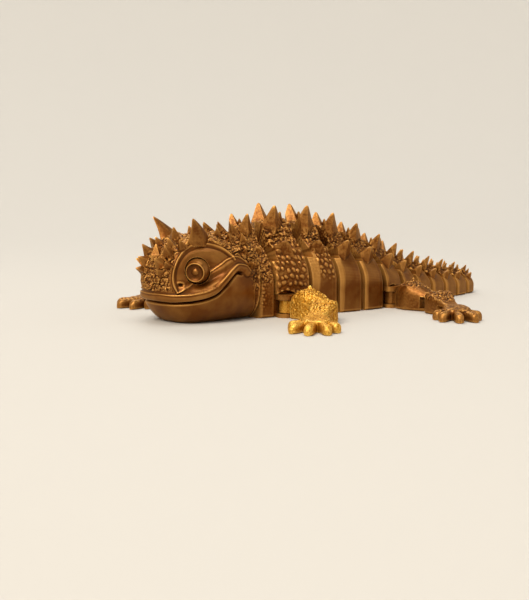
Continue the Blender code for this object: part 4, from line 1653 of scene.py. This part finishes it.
    def relief(self, grid: Grid) -> Grid:
        """Raise and sink the whole face, the rough crown and the brow mounds.

        Args:
            grid: The right half's plain points in millimetres.

        Returns:
            One lift in millimetres for each point.
        """
        rough = self.rough(grid)
        lift = self.face_relief(grid) + self.socket_relief(grid)
        lift += rough * (1.2 * cells(grid, 3.6, 31) + 0.3 * cells(grid, 1.5, 32) - 0.4)
        lift -= 0.8 * self.frill(grid)
        brow = np.linalg.norm((grid - np.array((-27.6, 12.6, 36.4))) / np.array((8.6, 7.6, 5.0)), axis=-1)
        lift += 2.0 * smooth(1.6 - brow) * smooth(-self.socket.inside(grid[..., 0], grid[..., 2]) / 0.05)
        return lift + 0.05 * value_noise(grid, 6.0, 34)

    def shell(self) -> Grid:
        """Lay out the head's right half, about its rear pin.

        Returns:
            Its points, a row for each section.
        """
        rear = SPINE_HINGE.pin_to_rear - self.rear_shift
        share = np.linspace(0.0, 1.0, self.rows) ** 1.7
        x = self.plan[0] + 0.01 + share * (rear - self.plan[0] - 0.01)
        turn = np.linspace(0.0, math.pi, self.columns)
        grid = self.base(x[:, None], turn[None, :])
        fade = smooth((rear - grid[..., 0]) / 1.2)
        lifted = grid + surface_normals(grid) * (self.relief(grid) * fade)[..., None]
        height = lifted[..., 2]
        lifted[..., 2] = np.maximum(0.5 * (height + np.sqrt(height**2 + 0.8)) - 0.095, 0.0)
        lifted[..., 1] = np.maximum(lifted[..., 1], 0.0)
        lifted[-1, :, 0] = rear
        sweep = (SPINE_HINGE.sweep(0.0) - SPINE_HINGE.opening) / 20.0
        lifted[..., 0] += self.rear_shift + smooth((grid[..., 0] + 14.0) / 12.6) * sweep * lifted[..., 1]
        return lifted

    def thorn(self, x: float, degrees: float, height: float, radius: float) -> list[Spike]:
        """Set one thorn of the head and its mirror image.

        Args:
            x: Its place along the head.
            degrees: Its angle from the keel, 180 on the crown.
            height: Its height before it is grown.
            radius: Half its root's width.

        Returns:
            One thorn, or two where it stands off the middle.
        """
        turn = math.radians(degrees)
        grid = self.base(np.array([[x - 0.3], [x], [x + 0.3]]), np.array([[turn - 0.03, turn, turn + 0.03]]))
        normal = surface_normals(grid)[1, 1]
        point = grid[1, 1]
        if degrees > 179:
            normal = np.array((0.0, 0.0, 1.0))
        spikes = []
        for side in (1, -1) if degrees < 179 else (1,):
            root = (point[0] + self.rear_shift, side * point[1], point[2])
            aim = (normal[0] - 0.15, side * normal[1], normal[2] + 0.25)
            corners = 3 if int(abs(x * 2.0)) % 2 else 4
            grown = 1.5 if x < -30.0 else 1.15
            lean = 0.0 if x < -12.0 else -0.4
            size = (height * grown, radius * grown * 1.1)
            spikes.append(Spike(root, aim, *size, lean, 1.1, corners, 0.10, 1.0, x * 40.0))
        return spikes

    def seats(self) -> list[bpy.types.Object]:
        """Make the cutters of the eyes' seats and of the brow horns' seats.

        Returns:
            The closed cutters.
        """
        cutters = []
        for side in Side:
            radius = self.eye_radius + self.seat_gap
            angle = np.linspace(0.0, math.pi, 24)
            ball = turned("seat", np.stack((radius * np.sin(angle), radius * np.cos(angle)), axis=1))
            x, y, z = self.eye_place
            ball.data.transform(Matrix.Translation(Vector((x + self.rear_shift, side.value * y, z)) * MM))
            cutters.append(ball)
            cutters.append(self.horn_mesh(side, 0.03))
        return cutters

    def horn_mesh(self, side: Side, grow: float = 0.0) -> bpy.types.Object:
        """Make a brow horn.

        Args:
            side: The side that it is on.
            grow: How much wider it is made, for the cutter of its seat.

        Returns:
            The closed body.
        """
        levels = self.horn_levels
        ahead, beside, base = self.horn_place
        angle = 2.0 * math.pi * np.arange(self.horn_sides) / self.horn_sides
        corner = 1.0 / (np.abs(np.cos(angle)) ** 1.35 + np.abs(np.sin(angle)) ** 1.35) ** (1 / 1.35)
        rings = []
        for level in np.linspace(levels[0] - grow, levels[-1], 26):
            radius = float(flowing(level, levels, self.horn_radii)) + grow
            lean = float(flowing(level, levels, self.horn_leans))
            x = ahead + self.rear_shift + lean + radius * 1.1 * corner * np.cos(angle)
            y = beside + level * 0.46 + radius * 0.69 * corner * np.sin(angle)
            rings.append(np.stack((x, side.value * y, np.full(len(angle), base + level)), axis=1))
        return skin_rings("horn", np.stack(rings))

    def eye_mesh(self, side: Side) -> bpy.types.Object:
        """Make an eye: a ball with a raised iris ring round a dish with a domed pupil.

        Args:
            side: The side that it is on.

        Returns:
            The closed body.
        """
        # Radii and heights, as shares of the ball's radius
        pupil = np.linspace(0.0, 1.0, 9)[:, None]
        dome = np.concatenate((0.27 * pupil, 0.65 - 0.12 * pupil**2), axis=1)
        floor = np.array(((0.31, 0.505), (0.37, 0.49), (0.45, 0.495), (0.53, 0.52), (0.61, 0.56)))
        ring = np.array(((0.67, 0.605), (0.705, 0.66), (0.73, 0.695), (0.76, 0.69), (0.785, 0.65)))
        dish = np.concatenate((floor, ring))
        angle = np.linspace(math.radians(53), math.pi, 20)
        ball = np.stack((np.sin(angle), np.cos(angle)), axis=1)
        eye = turned("eye", np.concatenate((dome, dish, ball)) * self.eye_radius, 48)
        aim = Vector((self.eye_aim[0], side.value * self.eye_aim[1], self.eye_aim[2])).normalized()
        x, y, z = self.eye_place
        place = Matrix.Translation(Vector((x + self.rear_shift, side.value * y, z)) * MM)
        eye.data.transform(place @ aim.to_track_quat("Z", "Y").to_matrix().to_4x4())
        return eye

    def grit(self, points: Grid) -> Grid:
        """Say how rough the head's print is: little on its thorns.

        Args:
            points: Places in millimetres, with X, Y and Z last.

        Returns:
            One value from 0 to 1 for each place.
        """
        moved = points - np.array((self.rear_shift, 0.0, 0.0))
        width, top, bottom = self.section(moved[..., 0])
        middle = bottom + self.middle_share * (top - bottom)
        rise = moved[..., 2] - middle
        span = np.where(rise >= 0.0, top - middle, middle - bottom)
        power = 2.0 / self.squareness
        share = (np.abs(moved[..., 1] / width) ** power + np.abs(rise / span) ** power) ** (1.0 / power)
        over = np.hypot(moved[..., 1], rise) * (1.0 - 1.0 / np.maximum(share, 0.1))
        return 0.9 * self.rough(moved) * (1.0 - 0.9 * smooth((over - 1.2) / 1.0))

    def build(self, material: bpy.types.Material, slot: str) -> list[bpy.types.Object]:
        """Build the head with its eyes and horns, and set them in the frame.

        Args:
            material: The filament.
            slot: The CAD's material slot.

        Returns:
            The five finished objects.
        """
        head = skin_half("head", self.shell())
        spikes = [spike.build() for values in self.thorns for spike in self.thorn(*values)]
        combine(head, spikes, Bool.JOIN)
        combine(head, self.seats(), Bool.CUT)
        SPINE_HINGE.add_pocket(head, SPINE_HINGE.pin_to_rear, 0.0)
        made = [self.piece("head", material, slot).dress(head, self.grit)]
        for side in Side:
            eye = self.piece(f"eye_{side.word}", material, slot)
            made.append(eye.dress(self.eye_mesh(side), lambda p: np.full(len(p), self.eye_grit)))
            horn = self.piece(f"brow_horn_{side.word}", material, slot)
            made.append(horn.dress(self.horn_mesh(side), lambda p: np.full(len(p), self.horn_grit)))
        return made

    def piece(self, node: str, material: bpy.types.Material, slot: str) -> PrintedPiece:
        """Return the printed piece of one of the head's nodes."""
        return PrintedPiece(node, "head", self.pin, self.heading, material, slot)


# Legs


@dataclass(frozen=True)
class LimbRow:
    """One section of a limb: its place along it, its offset, half width and height."""

    x: float
    offset: float
    width: float
    height: float


@dataclass(frozen=True)
class LegForm:
    """What tells front legs from hind legs: a bulge, half widths and the fingers' share of length."""

    bulge: float
    upper_width: float
    lower_width: float
    finger_share: float


FRONT_LEG = LegForm(2.0, 7.0, 6.6, 1.0)
HIND_LEG = LegForm(1.2, 7.8, 7.2, 0.96)


@dataclass
class Leg:
    """One leg: an upper limb, a lower limb and a hand or foot, each on its own pin."""

    nodes: tuple[str, str, str]
    side: Side
    end_heading: float
    material: bpy.types.Material
    slot: str
    form: LegForm
    glitter: float
    start: float = 5.5
    upper_length: float = 24.0
    lower_length: float = 20.0
    columns: int = 64
    finger_angles: tuple = (-64.0, -38.0, -10.0, 17.0, 42.0)
    finger_reaches: tuple = (17.5, 22.0, 24.0, 23.0, 19.0)

    @property
    def bend(self) -> float:
        """Return 1 for a left limb and -1 for its mirror image."""
        return -float(self.side.value)

    def outline(self, width: float, height: float, count: int, flatness: float = 0.0) -> Grid:
        """Return the right half of a limb's section: a dome on a flat base.

        Args:
            width: Half the section's width.
            height: Its height.
            count: How many points to return.
            flatness: Share of the top that is flat.

        Returns:
            Points from the middle of the base to the middle of the top.
        """
        edge = min(0.8, width * 0.3)
        shoulder = height * (0.42 + 0.3 * flatness)
        points = np.array(((0.0, 0.0), (width - edge, 0.0), (width, edge), (width, shoulder)))
        top = (width * flatness, height)
        dome = bezier((width, shoulder), (width, height * 1.01), top)
        return resample(np.concatenate((points, dome, ((0.0, height),))), count)

    def limb(
        self,
        name: str,
        rows: Sequence[LimbRow],
        rough: Callable[[Grid], Grid],
        flatness: float = 0.05,
    ) -> bpy.types.Object:
        """Loft a limb through its rows, with a rough surface where it is said to be.

        Args:
            name: Name of the new object.
            rows: The limb's sections in order.
            rough: Gives how rough the surface is at places in millimetres.
            flatness: Share of its top that is flat.

        Returns:
            The closed body.
        """
        table = np.array([(r.x, r.offset, r.width, r.height) for r in rows])
        steps = np.linalg.norm(np.diff(table, axis=0), axis=1)
        reach = np.concatenate(([0.0], np.cumsum(steps)))
        at = np.linspace(0.0, reach[-1], int(reach[-1] / SURFACE_STEP) + 4)
        x, offset, width, height = (flowing(at, reach, table[:, k]) for k in range(4))
        rings = np.empty((len(at), 2 * self.columns - 2, 3))
        for row in range(len(at)):
            half = self.outline(width[row], height[row], self.columns, flatness)
            ring = np.concatenate((half, half[-2:0:-1] * np.array((-1.0, 1.0))))
            rings[row, :, 0] = x[row]
            rings[row, :, 1] = ring[:, 0] + offset[row]
            rings[row, :, 2] = ring[:, 1]
        looped = np.concatenate((rings[:, -1:], rings, rings[:, :1]), axis=1)
        normals = surface_normals(looped)[:, 1:-1]
        lumps = 0.5 * cells(rings, 2.4, 41) + 0.5 * cells(rings, 1.3, 42) - 0.3
        lumps = lumps * rough(rings) * smooth((rings[..., 2] - 0.8) / 1.6)
        fade = smooth((rings[..., 0] - rings[:1, :, 0]) / 0.8)
        rings += normals * (lumps * fade)[..., None]
        return skin_rings(name, rings)

    def end_rows(self, length: float, hinge: LegHinge, radius: float) -> list[LimbRow]:
        """Round off a limb's far end about its pin.

        Args:
            length: The pin's place along the limb.
            hinge: The hinge there.
            radius: Half the end's width.

        Returns:
            The sections in order.
        """
        rows = []
        for degrees in (0.0, 20.0, 38.0, 54.0, 68.0, 78.0):
            turn = math.radians(degrees)
            height = hinge.top * (1.0 - 0.10 * math.sin(turn))
            rows.append(LimbRow(length + radius * math.sin(turn), 0.0, radius * math.cos(turn), height))
        return rows

    def add_far_clevis(self, body: bpy.types.Object, length: float, hinge: LegHinge) -> None:
        """Cut the slot in a limb's far end and set its pin."""
        slot = box((length - hinge.reach, length + PAST), (-PAST, PAST), hinge.slot)
        hinge.add_clevis(body, (length, 0.0), slot)

    def upper_rough(self, points: Grid) -> Grid:
        """Say how rough the upper limb is: its rear and top are bumpy, its front is smooth.

        Args:
            points: Places in millimetres, with X, Y and Z last.

        Returns:
            One value from 0 to 1 for each place.
        """
        rear = smooth((self.bend * points[..., 1] + 0.5) / 3.0)
        rough = np.maximum(rear, smooth((points[..., 2] - 11.0) / 2.0))
        return self.glitter + (1.0 - self.glitter) * rough

    def lower_rough(self, points: Grid) -> Grid:
        """Return how rough the lower limb is: its flat top glitters and its sides are smooth."""
        return self.glitter + (0.9 - self.glitter) * smooth((points[..., 2] - 6.5) / 1.5)

    def end_rough(self, points: Grid) -> Grid:
        """Return how rough the hand or foot is: it glitters on top."""
        return self.glitter + (0.9 - self.glitter) * smooth((points[..., 2] - 3.2) / 1.0)

    def upper(self) -> bpy.types.Object:
        """Make the upper arm or thigh, a bulging bean with a few blunt thorns.

        Returns:
            The closed body.
        """
        bulge = self.bend * self.form.bulge
        widest = self.form.upper_width
        rows = [
            LimbRow(self.start, 0.0, 4.2, 11.0),
            LimbRow(self.start + 3.2, bulge * 0.55, widest * 0.82, 13.2),
            LimbRow(12.5, bulge, widest, 14.0),
            LimbRow(17.0, bulge * 0.75, widest * 0.90, 12.6),
        ]
        rows += self.end_rows(self.upper_length, ELBOW, ELBOW.lug_radius)
        body = self.limb(self.nodes[0], rows, self.upper_rough)
        sign = self.bend
        reach = widest + abs(bulge)
        thorns = [
            Spike((10.0, sign * (reach - 2.2), 7.0), (0.1, sign, 0.5), 3.0, 2.0),
            Spike((15.0, sign * (reach - 3.2), 7.6), (0.2, sign, 0.7), 2.8, 1.9),
            Spike((12.0, bulge, 13.2), (0.0, sign * 0.2, 1.0), 2.6, 2.0),
        ]
        combine(body, [thorn.build() for thorn in thorns], Bool.JOIN)
        self.add_far_clevis(body, self.upper_length, ELBOW)
        SHOULDER.add_ring(body, self.start + 2.0)
        return body

    def lower(self) -> bpy.types.Object:
        """Make the forearm or shin, a wedge that narrows to the wrist.

        Returns:
            The closed body.
        """
        widest = self.form.lower_width
        rows = [
            LimbRow(4.8, 0.0, widest * 0.78, 9.2),
            LimbRow(6.2, 0.0, widest * 0.94, 10.3),
            LimbRow(8.0, 0.0, widest, 10.6),
            LimbRow(12.5, 0.0, widest * 0.82, 9.2),
        ]
        rows += self.end_rows(self.lower_length, WRIST, WRIST.lug_radius - 0.5)
        body = self.limb(self.nodes[1], rows, self.lower_rough, 0.62)
        combine(body, [rod(self.start, (-1.0, 14.0))], Bool.CUT)
        self.add_far_clevis(body, self.lower_length, WRIST)
        ELBOW.add_ring(body, self.start + 2.0)
        return body

    def finger(self, degrees: float, reach: float) -> bpy.types.Object:
        """Make one finger: a flat-bottomed bar with a swollen round tip.

        Args:
            degrees: The way that it points, from the hand's middle.
            reach: How far its tip is from the palm's root.

        Returns:
            The closed body.
        """
        # Shares of its reach, with its half width and height there
        table = ((0.0, 2.0, 5.4), (0.45, 1.85, 4.8), (0.82, 2.2, 4.6), (0.93, 1.9, 4.0), (1.0, 0.7, 2.4))
        share, widths, heights = (np.array(v) for v in zip(*table))
        at = np.linspace(0.0, 1.0, 30)
        turn = math.radians(self.bend * degrees)
        rings = []
        for t in at:
            half = self.outline(float(flowing(t, share, widths)), float(flowing(t, share, heights)), 14)
            ring = np.concatenate((half, half[-2:0:-1] * np.array((-1.0, 1.0))))
            x = 2.6 + t * (reach - 2.6)
            flat_x = x * math.cos(turn) - ring[:, 0] * math.sin(turn)
            flat_y = x * math.sin(turn) + ring[:, 0] * math.cos(turn)
            rings.append(np.stack((flat_x + 6.5, flat_y, ring[:, 1]), axis=1))
        return skin_rings("finger", np.stack(rings))

    def end(self) -> bpy.types.Object:
        """Make the hand or foot: a low palm with five splayed fingers, fused together.

        Returns:
            The closed body.
        """
        rows = [
            LimbRow(3.4, 0.0, 4.9, 6.2),
            LimbRow(7.0, 0.0, 5.7, 6.5),
            LimbRow(11.0, 0.0, 6.7, 6.1),
            LimbRow(14.2, 0.0, 6.2, 5.5),
            LimbRow(16.6, 0.0, 3.6, 5.0),
        ]
        body = self.limb(self.nodes[2], rows, lambda p: np.full(p.shape[:-1], 0.2), 0.5)
        fingers = []
        for degrees, reach in zip(self.finger_angles, self.finger_reaches):
            fingers.append(self.finger(degrees, (reach - 4.0) * self.form.finger_share))
        combine(body, fingers, Bool.JOIN)
        fuse(body, 0.34, 7)
        combine(body, [rod(self.start, (-1.0, 12.0))], Bool.CUT)
        WRIST.add_ring(body, self.start + 2.0)
        return body

    def build(self) -> list[bpy.types.Object]:
        """Build the leg's three pieces and set them in the frame.

        Returns:
            The finished objects, from the body out.
        """
        pins = [pin_of(node) for node in self.nodes]
        headings = (
            heading_between(pins[0], pins[1]),
            heading_between(pins[1], pins[2]),
            self.end_heading,
        )
        made = []
        meshes = (self.upper, self.lower, self.end)
        rough = (self.upper_rough, self.lower_rough, self.end_rough)
        for k, node in enumerate(self.nodes):
            piece = PrintedPiece(node, node, pins[k], headings[k], self.material, self.slot)
            made.append(piece.dress(meshes[k](), rough[k]))
        return made


# The whole toy


@dataclass(frozen=True)
class SpineRow:
    """One body piece's driving values: its name, its length from pin to pin and its pebbles."""

    name: str
    pitch: float
    pebbling: Pebbling
    crest: Crest


# The tail's thin pieces are alike
TAIL_PEBBLING = Pebbling(0.8, 0.3, 0.1)
TAIL_CREST = Crest(0.4, 0.2, 0.50)


@dataclass
class Toy:
    """The articulated toy: a head, twelve body pieces and four legs."""

    bronze: bpy.types.Material
    gold: bpy.types.Material
    rows: tuple = (
        SpineRow(
            "neck",
            10.0,
            Pebbling(0.06, 1.4, 0.34, (2.1, 1.7)),
            Crest(1.0, 0.8, 0.0, True, 0.36, lip_length=(0.8, 1.2), lip_depth=1.3),
        ),
        SpineRow(
            "chest",
            20.0,
            Pebbling(0.10, 1.2, 0.6, (2.7, 3.4)),
            Crest(2.8, 1.1, 0.0, True, 0.72, ledge=1.0, lip_length=(0.5, 0.7), lip_depth=0.7),
        ),
        SpineRow(
            "back_1",
            15.5,
            Pebbling(0.34, 0.85, 0.5),
            Crest(3.0, 1.0, 0.0, True, 0.72, ledge=1.1, lip_length=(1.5, 4.8), lip_depth=1.3),
        ),
        SpineRow(
            "back_2",
            15.5,
            Pebbling(0.56, 0.40, 0.22),
            Crest(2.6, 0.8, 0.10, False, 0.72, ledge=0.5, lip_length=(1.3, 2.8), lip_depth=1.0),
        ),
        SpineRow(
            "back_3",
            15.0,
            Pebbling(0.66, 0.35, 0.15),
            Crest(2.0, 0.6, 0.22, lip_length=(1.0, 1.5), lip_depth=0.8),
        ),
        SpineRow(
            "hip",
            15.0,
            Pebbling(0.70, 0.35, 0.12),
            Crest(1.6, 0.5, 0.34, lip_length=(0.9, 1.2), lip_depth=0.65),
        ),
        SpineRow("tail_1", 14.0, Pebbling(0.75, 0.3, 0.1), Crest(1.0, 0.3, 0.42)),
        SpineRow("tail_2", 13.5, TAIL_PEBBLING, Crest(0.5, 0.2, 0.48)),
        SpineRow("tail_3", 13.0, TAIL_PEBBLING, TAIL_CREST),
        SpineRow("tail_4", 13.0, TAIL_PEBBLING, TAIL_CREST),
        SpineRow("tail_5", 13.0, TAIL_PEBBLING, TAIL_CREST),
        SpineRow("tail_6", 17.0, TAIL_PEBBLING, TAIL_CREST),
    )
    tail_heading: float = 20.0
    bronze_glitter: float = 0.1
    gold_glitter: float = 0.45
    shoulder_along: float = 8.5
    shoulder_socket: float = 7.4
    hip_along: float = 7.6
    hip_socket: float = 6.4
    end_headings: tuple = (
        ("hand", Side.LEFT, -124.0),
        ("hand", Side.RIGHT, 168.0),
        ("foot", Side.LEFT, -112.0),
        ("foot", Side.RIGHT, 98.0),
    )

    def build_spine(self) -> None:
        """Build the row of body pieces from the neck to the tail's tip."""
        start = 0.0
        neck_pin = pin_of("neck")
        for k, row in enumerate(self.rows):
            is_last = row is self.rows[-1]
            # The neck's solid is placed from its rear pin, which is the chest's front pin
            pin = neck_pin if k < 2 else pin_of(row.name)
            if k == 0:
                heading = heading_between(pin_of("head"), neck_pin)
            elif is_last:
                heading = self.tail_heading
            else:
                heading = heading_between(pin, pin_of(self.rows[k + 1].name))
            piece = BodyPiece(row.name, row.pitch, start, pin, heading, row.pebbling, row.crest, is_last)
            if k == 0:
                piece.shift = -row.pitch
            if row.name == "chest":
                piece.leg_along = piece.front + self.shoulder_along
                piece.socket_radius = self.shoulder_socket
            if row.name == "hip":
                piece.leg_along = piece.front + self.hip_along
                piece.socket_radius = self.hip_socket
            piece.build(self.bronze, "silk_bronze")
            start += row.pitch

    def build_legs(self) -> None:
        """Build the four legs."""
        for end, side, heading in self.end_headings:
            is_front = end == "hand"
            names = ("upper_arm", "forearm", "hand") if is_front else ("thigh", "shin", "foot")
            nodes = tuple(f"{name}_{side.word}" for name in names)
            is_gold = is_front and side is Side.LEFT
            material = self.gold if is_gold else self.bronze
            slot = "silk_gold" if is_gold else "silk_bronze"
            glitter = self.gold_glitter if is_gold else self.bronze_glitter
            form = FRONT_LEG if is_front else HIND_LEG
            Leg(nodes, side, heading, material, slot, form, glitter).build()

    def build(self) -> None:
        """Build the whole toy."""
        Head(pin_of("head")).build(self.bronze, "silk_bronze")
        self.build_spine()
        self.build_legs()


# Studio


@dataclass(frozen=True)
class SoftLight:
    """One soft square light that faces the toy.

    It shines from an azimuth and elevation in degrees, and its distance and side are in metres.
    """

    name: str
    angles: Place
    distance: float
    side: float
    watts: float
    tint: str


@dataclass
class Studio:
    """Pale paper sweep, soft lights and the camera at the photograph's angle."""

    azimuth: float = -30.0
    elevation: float = 7.0
    distance: float = 0.515
    lens: float = 60.0
    aim: Triple = (-0.032, 0.016, 0.0035)
    floor_reach: float = 0.5
    bend_radius: float = 1.2
    wall_height: float = 1.2
    sweep_sides: int = 64
    sweep_drop: float = 0.00005
    sky_tint: str = "#dfe4ea"
    sky_strength: float = 0.26
    lights: tuple = (
        SoftLight("key", (-62.0, 48.0), 2.5, 1.1, 56.0, "#fff4e4"),
        SoftLight("top", (10.0, 82.0), 2.5, 1.7, 32.0, "#fffaf2"),
        SoftLight("fill", (55.0, 22.0), 1.4, 0.9, 1.3, "#e8efff"),
        SoftLight("rim", (165.0, 47.0), 2.5, 1.2, 22.0, "#ffffff"),
    )

    def direction(self, azimuth: float, elevation: float) -> Vector:
        """Point towards a viewer.

        Args:
            azimuth: Degrees round from the front.
            elevation: Degrees above the floor.

        Returns:
            A direction 1 long.
        """
        a = math.radians(azimuth)
        e = math.radians(elevation)
        return Vector((math.sin(a) * math.cos(e), -math.cos(a) * math.cos(e), math.sin(e)))

    def build_camera(self) -> None:
        """Set the camera at the photograph's viewing angle."""
        data = bpy.data.cameras.new("camera")
        data.lens = self.lens
        camera = bpy.data.objects.new("camera", data)
        bpy.context.scene.collection.objects.link(camera)
        back = self.direction(self.azimuth, self.elevation)
        camera.location = Vector(self.aim) + back * self.distance
        camera.rotation_euler = (-back).to_track_quat("-Z", "Y").to_euler()
        bpy.context.scene.camera = camera

    def build_sweep(self) -> None:
        """Lay the paper under the toy, as a wide round sheet whose rim curves up all round."""
        sides = self.sweep_sides
        angle = 2.0 * math.pi * np.arange(sides) / sides
        profile = [(0.05, 0.0), (0.3, 0.0)]
        for bend in np.linspace(0.0, 0.5 * math.pi, 24):
            rise = self.bend_radius * (1 - math.cos(bend))
            profile.append((self.floor_reach + self.bend_radius * math.sin(bend), rise))
        profile.append((profile[-1][0], self.wall_height))
        rings = []
        for radius, rise in profile:
            flat = (radius * np.cos(angle), radius * np.sin(angle))
            rings.append(np.stack((*flat, np.full(sides, rise)), axis=1))
        points = np.concatenate(rings)
        faces = [list(range(sides))]
        for row in range(len(rings) - 1):
            for k in range(sides):
                a = row * sides + k
                b = row * sides + (k + 1) % sides
                faces.append((a, a + sides, b + sides, b))
        mesh = bpy.data.meshes.new("paper_sweep")
        # A hair below the floor, so that the toy's flat underside isn't in the paper's plane
        mesh.from_pydata((points - np.array((0.0, 0.0, self.sweep_drop))).tolist(), [], faces)
        sweep = bpy.data.objects.new("paper_sweep", mesh)
        sweep.data.materials.append(MattePaper().build())
        mesh.shade_smooth()
        bpy.context.scene.collection.objects.link(sweep)

    def add_light(self, soft: SoftLight) -> None:
        """Hang one light.

        Args:
            soft: The light's settings.
        """
        data = bpy.data.lights.new(soft.name, "AREA")
        data.size = soft.side
        data.energy = soft.watts
        data.color = linear(soft.tint)[:3]
        light = bpy.data.objects.new(soft.name, data)
        back = self.direction(*soft.angles)
        light.location = back * soft.distance
        light.rotation_euler = (-back).to_track_quat("-Z", "Y").to_euler()
        bpy.context.scene.collection.objects.link(light)

    def build_lights(self) -> None:
        """Light the toy softly from above, with a key light on the left and a weak fill."""
        for soft in self.lights:
            self.add_light(soft)
        world = bpy.data.worlds.new("studio")
        world.use_nodes = True
        background = world.node_tree.nodes["Background"]
        background.inputs["Color"].default_value = linear(self.sky_tint)
        background.inputs["Strength"].default_value = self.sky_strength
        bpy.context.scene.world = world
        bpy.context.scene.view_settings.view_transform = "Standard"

    def build(self) -> None:
        """Build the camera, the paper and the lights."""
        self.build_camera()
        self.build_sweep()
        self.build_lights()


# Each filament's darkest colour is painted into creases as shade, and its lightest onto edges and glints as
# highlights
BRONZE = SilkFilament("silk_bronze_pla", deep="#230d02", base="#67370a", bright="#c9924a")
GOLD = SilkFilament("silk_gold_pla", deep="#6a3a05", base="#b5791a", bright="#f3c661", fleck_mm=0.75)


def main() -> None:
    """Build the studio and the toy in order, and report each piece."""
    logging.basicConfig(level=logging.INFO, format="%(message)s")
    Studio().build()
    Toy(BRONZE.build(), GOLD.build()).build()


if __name__ == "__main__":
    main()
